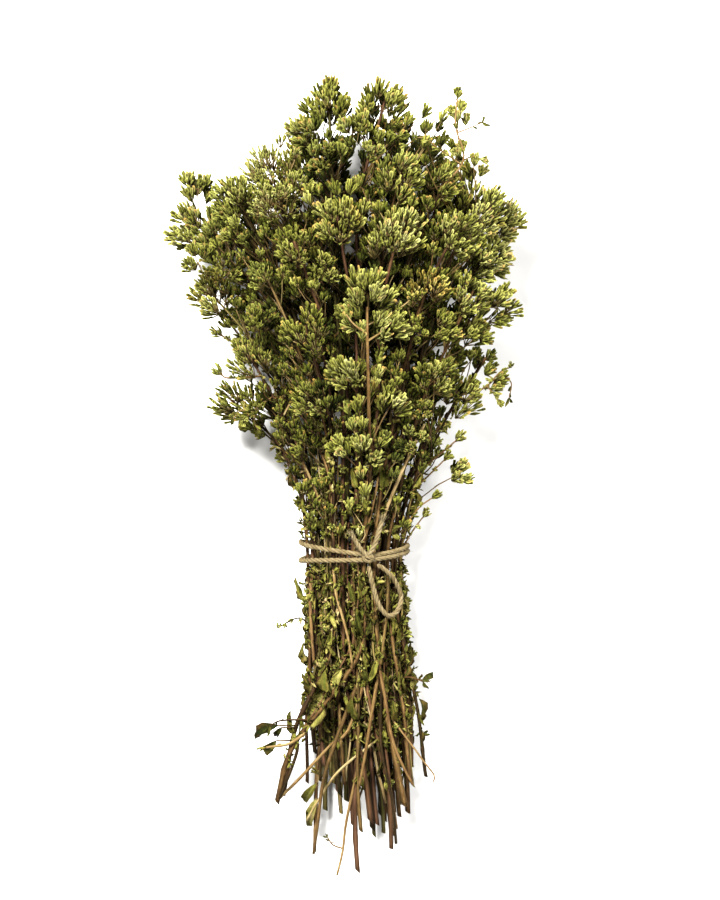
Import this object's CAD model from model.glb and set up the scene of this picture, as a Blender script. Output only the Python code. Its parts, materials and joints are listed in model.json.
"""Dried oregano bundle: fine flower heads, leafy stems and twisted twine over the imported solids."""

import json
import logging
import math
import random
from dataclasses import dataclass, field
from enum import Enum
from itertools import product
from typing import Callable, Optional, Sequence

import bpy
import numpy as np
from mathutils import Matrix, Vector


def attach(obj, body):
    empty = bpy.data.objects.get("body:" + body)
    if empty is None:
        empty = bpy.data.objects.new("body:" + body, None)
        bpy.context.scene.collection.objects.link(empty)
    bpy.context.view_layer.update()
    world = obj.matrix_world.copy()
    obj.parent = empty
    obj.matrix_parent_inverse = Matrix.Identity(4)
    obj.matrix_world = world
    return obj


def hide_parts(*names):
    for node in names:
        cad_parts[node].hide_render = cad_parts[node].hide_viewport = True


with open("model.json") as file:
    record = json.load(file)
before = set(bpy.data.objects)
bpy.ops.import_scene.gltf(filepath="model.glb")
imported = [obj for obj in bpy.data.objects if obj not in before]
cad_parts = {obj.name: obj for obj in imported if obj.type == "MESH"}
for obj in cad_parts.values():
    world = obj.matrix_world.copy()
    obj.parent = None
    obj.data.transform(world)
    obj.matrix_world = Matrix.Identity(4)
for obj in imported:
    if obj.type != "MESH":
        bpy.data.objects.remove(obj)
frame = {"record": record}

LOG = logging.getLogger("oregano_bundle")
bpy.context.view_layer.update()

MM = 0.001
SEED = 23
# Where the tie is in the part's frame, in metres
TIE_AT = np.array((0.005, -0.0412, -0.0055))

Points = np.ndarray
Point = Sequence[float]
Span = tuple[float, float]
Colour = tuple[float, float, float]
Stops = tuple[tuple[float, Colour], ...]
# A range, and the range that it is spread over
Spread = tuple[float, float, float, float]
# Places along from the tie, and a value for each
Curve = tuple[tuple[float, ...], tuple[float, ...]]

# A length that keeps a division safe, and the turn that spreads points evenly, in radians
TINY = 1e-9
GOLDEN_TURN = 2.39996
# An owner that nothing placed has
NOBODY = -2


# The bundle's lengths, in millimetres from the tie


@dataclass(frozen=True)
class StemSizes:
    """Sizes of the stems and of the ways that are tried for them, in millimetres."""

    foot_radius: float = 1.5
    tip_radius: float = 0.85
    points: int = 8
    pitch: float = 5.6
    step: float = 2.0
    tip_bends: tuple[float, ...] = (62.0, 40.0)
    foot_bend: float = 95.0
    foot_lifts: tuple[float, ...] = (0.0, 3.5, 7.0, -3.5, 10.5, 14.0)
    low_foot_share: float = -0.4
    spread_rounds: int = 600
    spread_rate: float = 0.3
    place_alongs: tuple[float, ...] = (60.0, 110.0, 150.0, 200.0, 240.0)
    place_shares: tuple[float, ...] = (0.98, 0.92, 0.75, 0.5, 0.25)


@dataclass(frozen=True)
class HeadSizes:
    """Sizes of the flower heads' solids and the moves that are tried for them."""

    gap: float = 0.35
    own_gap: float = 0.2
    far: float = 1000.0
    end_reaches: tuple[float, ...] = (0.0, 3.5, 7.0, 11.0)
    end_sizes: tuple[float, ...] = (1.0, 0.85, 0.72, 0.6)
    side_reaches: tuple[float, ...] = (0.0, 2.5, 5.0, 8.0, 11.0)
    side_sizes: tuple[float, ...] = (1.0, 0.88, 0.76, 0.64)
    outward_share: float = 0.4
    along_share: float = 0.7
    stalk_drops: tuple[float, ...] = (0.75, 0.5, 1.0, 1.3)
    stalk_least_drop: float = 4.0
    stalk_below_tip: float = 6.0
    stalk_radius: float = 0.4
    stalk_step: float = 1.5
    end_stalk_share: float = 0.2
    core_share: float = 0.58
    growth: float = 1.12
    most: float = 1.3


@dataclass(frozen=True)
class BladeSizes:
    """Sizes of the leaves that the solids have, and their bends in radians."""

    lengths: Span = (10.0, 17.0)
    width_shares: Span = (0.42, 0.56)
    leans: Span = (0.5, 1.1)
    turns: tuple[float, ...] = (0.3, -0.3, 0.7, -0.7, 0.0)
    shares: tuple[float, ...] = (0.3, 0.44, 0.58, 0.72, 0.86, 1.0)
    half_widths: tuple[float, ...] = (0.8, 1.0, 1.0, 1.0, 0.75, 0.3)
    skin: float = 0.3
    from_foot: float = 8.0
    from_tip: float = 15.0
    lowest: float = 7.5
    leafy_from: float = 0.8
    tones: Span = (0.34, 0.16)
    cut_widths: Span = (0.65, 0.95)
    curls: Span = (0.3, 1.3)
    folds: Span = (0.7, 1.5)
    twist: float = 0.6


STEMS = StemSizes()
HEADS = HeadSizes()
BLADES = BladeSizes()
LEAF_ALONGS = [(-88.0, -60.0, -26.0, 34.0), (-74.0, -44.0, 20.0), (-94.0, -52.0, -20.0, 46.0)]

# The twine's wraps, its knot and its ends
TWINE_OWNER = -1
TWINE_RADIUS = 1.45
CURVE_STEPS = 12
WRAP_HALF_WIDTH = 28.2
WRAP_HALF_DEPTH = 21.9
WRAP_HEIGHT = 29.5
WRAP_POINTS = 22
WRAP_TURNS = (0.0, 72.0, 120.0, 180.0, 270.0, 360.0)
WRAP_ALONGS = [(4.2, -0.8, 2.5, 6.2, 4.0, 4.2), (1.4, -3.0, -3.2, -3.8, 0.8, 1.4)]
KNOT_AT = (7.3, -1.6, 51.8)
KNOT_RADII = (3.6, 3.0, 2.6)
TWINE_ENDS = [
    [(7.3, -1.6, 52.4), (3.0, 3.5, 54.4), (-1.2, 10.6, 55.9)],
    [(7.3, -1.6, 52.4), (11.5, 7.0, 54.6), (14.8, 18.5, 56.3)],
]
BOW_ROUTE = [
    (7.6, -6.2, 52.2), (8.6, -11.0, 51.6), (10.2, -18.0, 50.9), (13.2, -27.0, 49.2),
    (18.2, -32.4, 46.2), (23.2, -29.2, 42.6), (24.6, -22.0, 41.4), (21.6, -14.6, 44.6),
    (17.4, -9.4, 48.6), (12.3, -5.4, 51.2),
]

# The bunch of stems and the outer shape of the heads: along from the tie, middle across,
# middle height, half width and half depth
BUNCH = np.array([
    (-175.0, 4.0, 19.4, 26.0, 17.5),
    (-80.0, 1.0, 26.5, 25.0, 19.5),
    (0.0, 0.0, 29.5, 24.6, 18.2),
    (50.0, 3.0, 38.0, 32.0, 20.0),
    (90.0, 4.0, 46.0, 46.0, 26.0),
    (130.0, 1.0, 52.0, 58.0, 31.0),
    (170.0, -3.0, 55.0, 66.0, 34.0),
    (210.0, 6.0, 56.0, 46.0, 27.0),
    (250.0, 6.0, 56.0, 34.0, 18.0),
])
CROWN = np.array([
    (10.0, 0.0, 31.0, 32.0, 25.0),
    (45.0, 3.0, 39.0, 42.0, 31.0),
    (78.0, 0.0, 46.0, 62.0, 42.0),
    (117.0, 4.0, 52.0, 74.0, 50.0),
    (148.0, -2.0, 54.0, 84.0, 54.0),
    (168.0, -6.0, 55.0, 94.0, 55.0),
    (187.0, -5.0, 55.0, 82.0, 50.0),
    (203.0, 5.0, 55.0, 65.0, 43.0),
    (226.0, 10.0, 55.0, 50.0, 31.0),
    (252.0, 5.0, 55.0, 34.0, 15.0),
])

# Each spray that shows: its foot, across and along, and its heads, across, along, radius and sunk
FRONT_SPRAYS = [
    ((4.0, -146.0), [
        (7, 140, 10.5, 0), (-6, 127, 10, 0), (20, 128, 10, 0), (17, 110, 11, 0), (-6, 96, 10, 2)]),
    ((-41.0, -130.0), [(8, 68, 12, 0), (25, 82, 8, 4), (-9, 57, 6.5, 2)]),
    ((-38.0, -127.0), [(-27, 119, 10, 2), (-25, 92, 10, 3), (-23, 139, 9.5, 14)]),
    ((-21.0, -106.0), [(-66, 89, 10.5, 5), (-53, 87, 8, -4), (-55, 68, 6, 0)]),
    ((-16.0, -112.0), [(-55, 104, 10.5, -6), (-49, 117, 9, 0), (-21, 76, 9, 2)]),
    ((-26.0, -122.0), [(-66, 125, 9.5, 10), (-51, 132, 9, 3)]),
    ((-12.0, -118.0), [(-76, 138, 10, -8), (-63, 142, 9, 0), (-79, 154, 8, -10)]),
    ((-22.0, -158.0), [(-88, 173, 11.5, 6), (-82, 187, 8.5, 4), (-73, 165, 8, 8)]),
    ((-8.0, -128.0), [(-64, 187, 11.5, 0), (-62, 160, 10.5, 0)]),
    ((0.0, -136.0), [(-45, 203, 12.5, 0), (-42, 176, 9.5, 0), (-32, 191, 9, 10)]),
    ((-4.0, -122.0), [(-47, 146, 9, 0), (-46, 162, 9, 4), (-28, 60, 6, 2)]),
    ((8.0, -141.0), [(-28, 162, 10.5, 0), (-20, 150, 8, 4), (-25, 177, 9, 3)]),
    ((2.0, -168.0), [(-8, 175, 12, 0), (-5, 191, 8, 10)]),
    ((10.0, -130.0), [(-14, 239, 11, 0), (-29, 222, 10.5, 0), (-20, 207, 10, 3)]),
    ((13.0, -143.0), [(16, 238, 11, 0), (1, 223, 7.5, 0), (13, 221, 8.5, 4), (20, 210, 8, 0)]),
    ((17.0, -134.0), [(25, 199, 11.5, 0), (2, 205, 9, 4), (38, 195, 6.5, 2)]),
    ((21.0, -145.0), [(12, 168, 12.5, 0), (30, 172, 10, 0), (28, 158, 8.5, 2)]),
    ((22.0, -137.0), [(48, 195, 9.5, 0), (42, 180, 9.5, 2)]),
    ((25.0, -139.0), [(66, 182, 12, 0), (62, 198, 6.5, 0), (55, 213, 5, 0), (54, 232, 4.5, 0)]),
    ((24.0, -127.0), [(81, 178, 10, 6), (79, 163, 9, 6), (69, 154, 9, 3)]),
    ((20.0, -155.0), [(53, 165, 10.5, 0), (43, 155, 8.5, 3)]),
    ((26.0, -133.0), [(38, 141, 11, 0), (49, 127, 9.5, 0), (34, 121, 7, 6)]),
    ((31.0, -121.0), [(61, 137, 10, -5), (78, 131, 9.5, -8), (67, 120, 8, -5)]),
    ((28.0, -138.0), [(69, 111, 10, 8), (56, 109, 10.5, 4), (46, 94, 8, 3)]),
    ((39.0, -118.0), [(57, 86, 10, -5), (42, 76, 8, 0), (76, 93, 5.5, -5)]),
    ((30.0, -112.0), [(50, 64, 7, 0), (34, 60, 6.5, 2), (58, 44, 5.5, 0)]),
]

# Sprays on the side that is lain on: turns round the bundle, along, radius and shift
BACK_ROWS = [
    (5, 86.0, 11.0, 0.03),
    (6, 126.0, 13.0, 0.0),
    (4, 170.0, 13.5, 0.02),
    (2, 208.0, 13.0, 0.0),
]
BACK_ARC = (math.radians(196.0), math.radians(344.0))
BACK_ALONG_SPREAD = 5.0
BACK_SIZE_SHARES = (0.92, 1.05)
BACK_SIDE_DROP = 22.0
BACK_SIDE_TURN = math.radians(11.0)
BACK_SIDE_SHARE = 0.85
BACK_FOOT_ALONGS = (-118.0, -152.0)


def clipped(value: float, low: float = 0.0, high: float = 1.0) -> float:
    """A value kept between two others."""
    return float(np.clip(value, low, high))


def smooth_step(share: float) -> float:
    """Ease from 0 to 1."""
    share = np.clip(share, 0.0, 1.0)
    return share * share * (3.0 - 2.0 * share)


def table_at(table: Points, along: float) -> list[float]:
    """Read a table of sections at a distance along from the tie."""
    return [float(np.interp(along, table[:, 0], table[:, column])) for column in range(1, 5)]


def bunch_point(place: Point, along: float) -> Points:
    """Where a stem with its own place in the bunch passes, at a distance along."""
    across, height, half_width, half_depth = table_at(BUNCH, along)
    return np.array([across + half_width * place[0], along, height + half_depth * place[1]])


def crown_point(across: float, along: float, radius: float, sunk: float) -> Points:
    """A head's middle just under the front of the crown.

    Args:
        across: Its place across.
        along: Its distance along from the tie.
        radius: The head's radius.
        sunk: How far under the front it lies.

    Returns:
        The head's middle.
    """
    middle, height, half_width, half_depth = table_at(CROWN, along)
    share = min(1.0, abs(across - middle) / max(half_width - radius, 1.0))
    rise = (half_depth - radius) * math.sqrt(1.0 - share * share)
    return np.array([across, along, height + rise - sunk])


def crown_ring_point(turn: float, along: float, radius: float) -> Points:
    """A head's middle just under the crown at a turn round the bundle.

    Args:
        turn: The turn, in radians.
        along: Its distance along from the tie.
        radius: The head's radius.

    Returns:
        The head's middle.
    """
    across, height, half_width, half_depth = table_at(CROWN, along)
    return np.array([
        across + (half_width - radius) * math.cos(turn),
        along,
        height + (half_depth - radius) * math.sin(turn),
    ])


def out_share(table: Points, point: Point) -> float:
    """How far out a point lies: 0 on a table's middle line and 1 on its outer shape."""
    across, height, half_width, half_depth = table_at(table, float(point[1]))
    return math.hypot((point[0] - across) / half_width, (point[2] - height) / half_depth)


def place_of(point: Point) -> Points:
    """The place in the bunch of a stem that ends at a point: deeper in the higher it reaches.

    Args:
        point: Where the stem ends.

    Returns:
        The place, as shares of the bunch's half width and half depth.
    """
    across, height, half_width, half_depth = table_at(CROWN, point[1])
    turn = math.atan2((point[2] - height) / half_depth, (point[0] - across) / half_width)
    out = float(np.interp(point[1], STEMS.place_alongs, STEMS.place_shares))
    return np.array([out * math.cos(turn), out * math.sin(turn)])


def spread_places(places: Sequence[Points]) -> Points:
    """Move the stems' places apart until each has room at the tie, inside the twine.

    Args:
        places: The stems' places.

    Returns:
        The places with room, one a row.
    """
    half = np.array(table_at(BUNCH, 0.0)[2:])
    spots = np.array(places) * half
    for _ in range(STEMS.spread_rounds):
        gaps = spots[:, None, :] - spots[None, :, :]
        far = np.linalg.norm(gaps, axis=2) + np.eye(len(spots)) * STEMS.pitch * 2.0
        push = np.clip(STEMS.pitch - far, 0.0, None)
        spots += (gaps / far[:, :, None] * push[:, :, None]).sum(axis=1) * STEMS.spread_rate
        out = np.linalg.norm(spots / half, axis=1)
        spots /= np.clip(out, 1.0, None)[:, None]
    return spots / half


class Space:
    """What is already placed, as tapered rods, to keep sprays clear of each other."""

    def __init__(self) -> None:
        """Start empty."""
        self.starts = np.zeros((0, 3))
        self.ends = np.zeros((0, 3))
        self.start_radii = np.zeros(0)
        self.end_radii = np.zeros(0)
        self.owners = np.zeros(0, dtype=int)

    def add(self, points: Points, radii: Points, owner: int) -> None:
        """Add a chain of points as rods; one point is a ball.

        Args:
            points: The chain's points.
            radii: The radius at each.
            owner: The spray that owns them.
        """
        points = np.asarray(points, dtype=float)
        radii = np.asarray(radii, dtype=float)
        if len(points) == 1:
            points = np.repeat(points, 2, axis=0)
            radii = np.repeat(radii, 2)
        self.starts = np.vstack([self.starts, points[:-1]])
        self.ends = np.vstack([self.ends, points[1:]])
        self.start_radii = np.append(self.start_radii, radii[:-1])
        self.end_radii = np.append(self.end_radii, radii[1:])
        self.owners = np.append(self.owners, np.full(len(points) - 1, owner))

    def room(self, points: Points, radii: Points, owner: int) -> float:
        """The least gap between balls and everything that others own.

        Args:
            points: The balls' middles.
            radii: Their radii.
            owner: The spray whose own things are left out.

        Returns:
            The least gap.
        """
        others = self.owners != owner
        if not others.any():
            return HEADS.far
        starts, ends = self.starts[others], self.ends[others]
        runs = ends - starts
        length_squared = np.maximum((runs ** 2).sum(axis=1), TINY)
        points = np.asarray(points, dtype=float)
        offsets = points[:, None, :] - starts[None, :, :]
        shares = np.clip((offsets * runs[None]).sum(axis=2) / length_squared, 0.0, 1.0)
        nearest = starts[None] + shares[:, :, None] * runs[None]
        far = np.linalg.norm(points[:, None, :] - nearest, axis=2)
        begin, finish = self.start_radii[others], self.end_radii[others]
        thick = begin[None] + shares * (finish - begin)[None]
        return float((far - thick - np.asarray(radii)[:, None]).min())

    def rooms(self, points: Points) -> Points:
        """The gap between each point and everything that is placed."""
        return np.array([self.room([point], [0.0], NOBODY) for point in points])


def fill_between(points: Points, radii: Points, step: float) -> tuple[Points, Points]:
    """Balls along a chain of points, a step apart.

    Args:
        points: The chain's points.
        radii: The radius at each.
        step: The greatest step.

    Returns:
        The balls' middles and radii.
    """
    spots, sizes = [], []
    for here, there, near, beyond in zip(points[:-1], points[1:], radii[:-1], radii[1:]):
        count = max(2, int(math.ceil(float(np.linalg.norm(there - here)) / step)) + 1)
        for share in np.linspace(0.0, 1.0, count):
            spots.append(here + (there - here) * share)
            sizes.append(near + (beyond - near) * share)
    return np.array(spots), np.array(sizes)


def nudges(target: Points, reaches: Sequence[float]) -> list[Points]:
    """Small moves from a target, the least first: inward, outward and to the sides.

    Args:
        target: What is aimed at.
        reaches: The lengths of the moves.

    Returns:
        The moves.
    """
    middle, height, _, _ = table_at(CROWN, float(target[1]))
    inward = np.array([middle - target[0], 0.0, height - target[2]])
    inward /= max(np.linalg.norm(inward), TINY)
    side = np.array([-inward[2], 0.0, inward[0]])
    along = np.array([0.0, HEADS.along_share, 0.0])
    ways = (inward, -HEADS.outward_share * inward, side, -side, along, -along)
    return [np.zeros(3)] + [way * reach for reach in reaches[1:] for way in ways]


@dataclass
class Head:
    """A flower head: its middle, its radius and where its stalk starts."""

    middle: Points
    radius: float
    foot: Points

    def balls(self) -> tuple[Points, Points]:
        """The balls that hold the stalk and the spikelets.

        Returns:
            Their middles and radii.
        """
        core = self.radius * HEADS.core_share
        ends = [HEADS.stalk_radius, core]
        points, radii = fill_between([self.foot, self.middle], ends, HEADS.stalk_step)
        return np.vstack([points, self.middle]), np.append(radii, self.radius)


@dataclass
class Blade:
    """A leaf of the solids: root, direction, the way its face looks, and size."""

    root: Points
    run: Points
    face: Points
    length: float
    width: float

    def balls(self) -> tuple[Points, Points]:
        """The balls that hold the blade past the stem's skin.

        Returns:
            Their middles and radii.
        """
        points = self.root + np.outer(np.array(BLADES.shares) * self.length, self.run)
        radii = self.width * 0.5 * np.array(BLADES.half_widths) + BLADES.skin
        return points, radii


class SprayPlan:
    """One stem with its heads and leaves, worked out in millimetres from the tie."""

    def __init__(self, index: int, foot: tuple, targets: list, rng: random.Random) -> None:
        """Keep what the spray aims at; the settling fills in the rest.

        Args:
            index: The spray's number.
            foot: Its cut end, across and along.
            targets: Its heads' middles and radii.
            rng: Its own random numbers.
        """
        self.name = f"spray_{index + 1:02d}"
        self.index = index
        self.foot = foot
        self.targets = targets
        self.rng = rng
        self.place = place_of(targets[0][0])
        self.points: Optional[Points] = None
        self.radii: Optional[Points] = None
        self.heads: list[Head] = []
        self.leaves: list[Blade] = []

    def route(self, tip: Points, foot_lift: float, bend_length: float) -> tuple[Points, Points]:
        """The stem's points and radii from its cut end to its tip.

        Args:
            tip: The stem's tip.
            foot_lift: How far its cut end is raised.
            bend_length: The length over which it bends to the tip.

        Returns:
            The points and the radii.
        """
        tip_along = float(tip[1])
        foot_along = float(self.foot[1])
        spans = np.linspace(foot_along, tip_along, STEMS.points)
        spans[np.argmin(np.abs(spans))] = 0.0
        tip_shift = tip - bunch_point(self.place, tip_along)
        foot_point = bunch_point(self.place, foot_along)
        rise = foot_lift if self.place[1] > 0.0 else foot_lift * STEMS.low_foot_share
        foot_shift = np.array([0.0, 0.0, rise])
        if self.foot[0] is not None:
            foot_shift[0] = self.foot[0] - foot_point[0]
        points = []
        for along in spans:
            point = bunch_point(self.place, along)
            bend = smooth_step((along - tip_along + bend_length) / bend_length)
            swing = smooth_step((foot_along + STEMS.foot_bend - along) / STEMS.foot_bend)
            points.append(point + tip_shift * bend + foot_shift * swing)
        shares = (spans - foot_along) / (tip_along - foot_along)
        radii = STEMS.foot_radius + (STEMS.tip_radius - STEMS.foot_radius) * shares
        return np.array(points), radii

    def stem_at(self, along: float) -> Points:
        """The stem's middle at a distance along from the tie."""
        alongs = self.points[:, 1]
        return np.array([np.interp(along, alongs, self.points[:, axis]) for axis in range(3)])

    def grow_stem(self, space: Space) -> None:
        """Place the stem and its end head where they clear what stands already.

        Args:
            space: What is placed.
        """
        target, radius = self.targets[0]
        best_room = -HEADS.far
        best = None
        for size, shift in product(HEADS.end_sizes, nudges(target, HEADS.end_reaches)):
            tip = target + shift
            head_room = space.room([tip], [radius * size], self.index)
            if head_room < min(best_room, HEADS.gap):
                continue
            for lift, bend_length in product(STEMS.foot_lifts, STEMS.tip_bends):
                points, radii = self.route(tip, lift, bend_length)
                rods, sizes = fill_between(points, radii, STEMS.step)
                room = min(head_room, space.room(rods, sizes, self.index))
                if room > best_room:
                    best_room = room
                    best = (points, radii, radius * size)
                if best_room >= HEADS.gap:
                    self.take_stem(best, space)
                    return
        self.take_stem(best, space)

    def take_stem(self, choice: tuple, space: Space) -> None:
        """Keep a stem and its end head.

        Args:
            choice: The stem's points and radii and the head's radius.
            space: What is placed.
        """
        self.points, self.radii, radius = choice
        tip, before = self.points[-1], self.points[-2]
        space.add(self.points, self.radii, self.index)
        self.take_head(Head(tip, radius, tip + (before - tip) * HEADS.end_stalk_share), space)

    def take_head(self, head: Head, space: Space) -> None:
        """Keep a head and claim its space.

        Args:
            head: The head.
            space: What is placed.
        """
        self.heads.append(head)
        core = head.radius * HEADS.core_share
        space.add([head.foot, head.middle], [HEADS.stalk_radius, core], self.index)
        space.add([head.middle], [head.radius], self.index)

    def clear_of_own(self, middle: Points, radius: float) -> bool:
        """Whether a head keeps its distance to the spray's other heads.

        Args:
            middle: The head's middle.
            radius: The head's radius.

        Returns:
            True if it does.
        """
        for head in self.heads:
            apart = float(np.linalg.norm(middle - head.middle)) - radius - head.radius
            if apart < HEADS.own_gap:
                return False
        return True

    def grow_side_heads(self, space: Space) -> None:
        """Place the side heads that find room, each on a stalk from the stem.

        Args:
            space: What is placed.
        """
        for target, radius in self.targets[1:]:
            head = self.find_side_head(target, radius, space)
            if head:
                self.take_head(head, space)

    def find_side_head(self, target: Points, radius: float, space: Space) -> Optional[Head]:
        """The nearest place to a target where a side head and its stalk are clear.

        Args:
            target: The middle that is aimed at.
            radius: The radius that is aimed at.
            space: What is placed.

        Returns:
            The head, or None where there is no room.
        """
        top = float(self.points[-1][1])
        for size, shift in product(HEADS.side_sizes, nudges(target, HEADS.side_reaches)):
            middle = target + shift
            if not self.clear_of_own(middle, radius * size):
                continue
            offset = middle - self.stem_at(min(middle[1], top))
            aside = math.hypot(offset[0], offset[2])
            for drop in HEADS.stalk_drops:
                start = middle[1] - HEADS.stalk_least_drop - aside * drop
                foot = self.stem_at(min(top - HEADS.stalk_below_tip, start))
                head = Head(middle, radius * size, foot)
                points, radii = head.balls()
                if space.room(points, radii, self.index) >= HEADS.gap:
                    return head
        return None

    def fill_out(self, space: Space) -> None:
        """Let each head grow into the free room round it.

        Args:
            space: What is placed.
        """
        for head in self.heads:
            room = space.room([head.middle], [head.radius], self.index) - HEADS.gap
            for other in self.heads:
                if other is not head:
                    apart = float(np.linalg.norm(head.middle - other.middle))
                    room = min(room, apart - head.radius - other.radius)
            growth = min(room, head.radius * (HEADS.most - 1.0))
            if growth > 0.0:
                head.radius += growth
                space.add([head.middle], [head.radius], self.index)

    def grow_leaves(self, space: Space, alongs: Sequence[float]) -> None:
        """Set leaves on the outer side of an outer stem wherever one is clear.

        Args:
            space: What is placed.
            alongs: The places along that are tried.
        """
        if np.linalg.norm(self.place) < BLADES.leafy_from:
            return
        top = self.points[-1][1] - BLADES.from_tip
        for along in alongs:
            if not self.foot[1] + BLADES.from_foot < along < top:
                continue
            root = self.stem_at(along)
            across, height, half_width, half_depth = table_at(BUNCH, along)
            out = np.array([(root[0] - across) / half_width, 0.0, (root[2] - height) / half_depth])
            out /= np.linalg.norm(out)
            side = np.cross(out, (0.0, 1.0, 0.0))
            length = self.rng.uniform(*BLADES.lengths)
            width = length * self.rng.uniform(*BLADES.width_shares)
            lean = self.rng.uniform(*BLADES.leans)
            for turn in BLADES.turns:
                run = np.array([0.0, 1.0, 0.0]) + out * lean + side * turn
                run /= np.linalg.norm(run)
                leaf = Blade(root, run, np.cross(run, side), length, width)
                points, radii = leaf.balls()
                if points[:, 2].min() < BLADES.lowest:
                    continue
                if space.room(points, radii, self.index) >= HEADS.gap:
                    self.leaves.append(leaf)
                    space.add(points, radii, self.index)
                    break


def back_targets(share: float, along: float, radius: float, side: float, rng: random.Random) -> list:
    """An end head and a side head at a share of the way round the back.

    Args:
        share: The share of the way.
        along: The distance along from the tie.
        radius: The end head's radius.
        side: Which side the side head is on, -1 or 1.
        rng: Random numbers.

    Returns:
        The middle and the radius of both.
    """
    turn = BACK_ARC[0] + (BACK_ARC[1] - BACK_ARC[0]) * share
    end_along = along + rng.uniform(-BACK_ALONG_SPREAD, BACK_ALONG_SPREAD)
    end_radius = radius * rng.uniform(*BACK_SIZE_SHARES)
    side_radius = end_radius * BACK_SIDE_SHARE
    side_along = end_along - BACK_SIDE_DROP
    side_turn = turn + side * BACK_SIDE_TURN
    return [
        (crown_ring_point(turn, end_along, end_radius), end_radius),
        (crown_ring_point(side_turn, side_along, side_radius), side_radius),
    ]


def list_sprays() -> list[SprayPlan]:
    """The sprays with their targets: the ones that show, then rows round the back.

    Returns:
        The sprays.
    """
    sprays: list[SprayPlan] = []
    for foot, heads in FRONT_SPRAYS:
        targets = [(crown_point(x, y, r, sunk), r * HEADS.growth) for x, y, r, sunk in heads]
        sprays.append(SprayPlan(len(sprays), foot, targets, random.Random(SEED + len(sprays))))
    for count, along, radius, shift in BACK_ROWS:
        for number in range(count):
            rng = random.Random(SEED + len(sprays))
            side = 1.0 if number % 2 else -1.0
            targets = back_targets((number + 0.5) / count + shift, along, radius, side, rng)
            foot = (None, rng.uniform(*BACK_FOOT_ALONGS))
            sprays.append(SprayPlan(len(sprays), foot, targets, rng))
    places = spread_places([spray.place for spray in sprays])
    for spray, place in zip(sprays, places):
        spray.place = place
    return sprays


def wrap_points(alongs: Sequence[float], count: int = WRAP_POINTS) -> Points:
    """The points of one wrap of twine round the waist.

    Args:
        alongs: The wrap's distance along at its named turns.
        count: How many points.

    Returns:
        The points.
    """
    points = []
    for turn in np.linspace(0.0, 360.0, count, endpoint=False):
        points.append((
            WRAP_HALF_WIDTH * math.cos(math.radians(turn)),
            float(np.interp(turn, WRAP_TURNS, alongs)),
            WRAP_HEIGHT + WRAP_HALF_DEPTH * math.sin(math.radians(turn)),
        ))
    return np.array(points)


def settle(sprays: list[SprayPlan]) -> Space:
    """Place every stem, the highest first, then the side heads, then the leaves.

    Args:
        sprays: The sprays.

    Returns:
        Everything that they hold.
    """
    space = Space()
    for alongs in WRAP_ALONGS:
        wrap = wrap_points(alongs)
        space.add(np.vstack([wrap, wrap[:1]]), [TWINE_RADIUS] * (len(wrap) + 1), TWINE_OWNER)
    for route in TWINE_ENDS + [BOW_ROUTE]:
        space.add(route, [TWINE_RADIUS] * len(route), TWINE_OWNER)
    space.add([KNOT_AT], [KNOT_RADII[0]], TWINE_OWNER)
    for spray in sorted(sprays, key=lambda one: -one.targets[0][0][1]):
        spray.grow_stem(space)
    for spray in sprays:
        spray.grow_side_heads(space)
    for spray in sprays:
        spray.fill_out(space)
    for spray in sprays:
        spray.grow_leaves(space, LEAF_ALONGS[spray.index % len(LEAF_ALONGS)])
    return space


def lengths_along(points: Points) -> Points:
    """The length of a line up to each of its points."""
    return np.append(0.0, np.cumsum(np.linalg.norm(np.diff(points, axis=0), axis=1)))


def smooth_route(points: Sequence[Point], count: int) -> Points:
    """Points at even steps on a smooth curve through a route's own points.

    Args:
        points: The route's points.
        count: How many points are wanted.

    Returns:
        The points.
    """
    knots = np.array(points, dtype=float)
    ends = [2.0 * knots[0] - knots[1], 2.0 * knots[-1] - knots[-2]]
    padded = np.vstack([ends[0], knots, ends[1]])
    fine = []
    for start in range(len(knots) - 1):
        a, b, c, d = padded[start:start + 4]
        for share in np.linspace(0.0, 1.0, CURVE_STEPS, endpoint=False):
            fine.append(0.5 * (
                2.0 * b
                + (c - a) * share
                + (2.0 * a - 5.0 * b + 4.0 * c - d) * share ** 2
                + (3.0 * b - a - 3.0 * c + d) * share ** 3
            ))
    fine.append(knots[-1])
    fine = np.array(fine)
    runs = lengths_along(fine)
    steps = np.linspace(0.0, runs[-1], count)
    return np.array([np.interp(steps, runs, fine[:, axis]) for axis in range(3)]).T


def in_frame(points: Points) -> Points:
    """Points in millimetres from the tie, as metres in the part's frame."""
    return TIE_AT + np.asarray(points, dtype=float) * MM


# Meshes


def unit(vectors: Points) -> Points:
    """Vectors at length one."""
    vectors = np.asarray(vectors, dtype=float)
    return vectors / np.maximum(np.linalg.norm(vectors, axis=-1, keepdims=True), TINY)


def side_axes(runs: Points, turns: Points) -> tuple[Points, Points]:
    """Two axes across each direction, turned about it.

    Args:
        runs: Unit directions, one a row.
        turns: Angles about each direction, in radians.

    Returns:
        The first and the second axis across.
    """
    helper = np.where(np.abs(runs[:, 2:3]) < 0.9, (0.0, 0.0, 1.0), (1.0, 0.0, 0.0))
    first = unit(np.cross(runs, helper))
    second = np.cross(runs, first)
    cos, sin = np.cos(turns)[:, None], np.sin(turns)[:, None]
    return first * cos + second * sin, second * cos - first * sin


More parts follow.
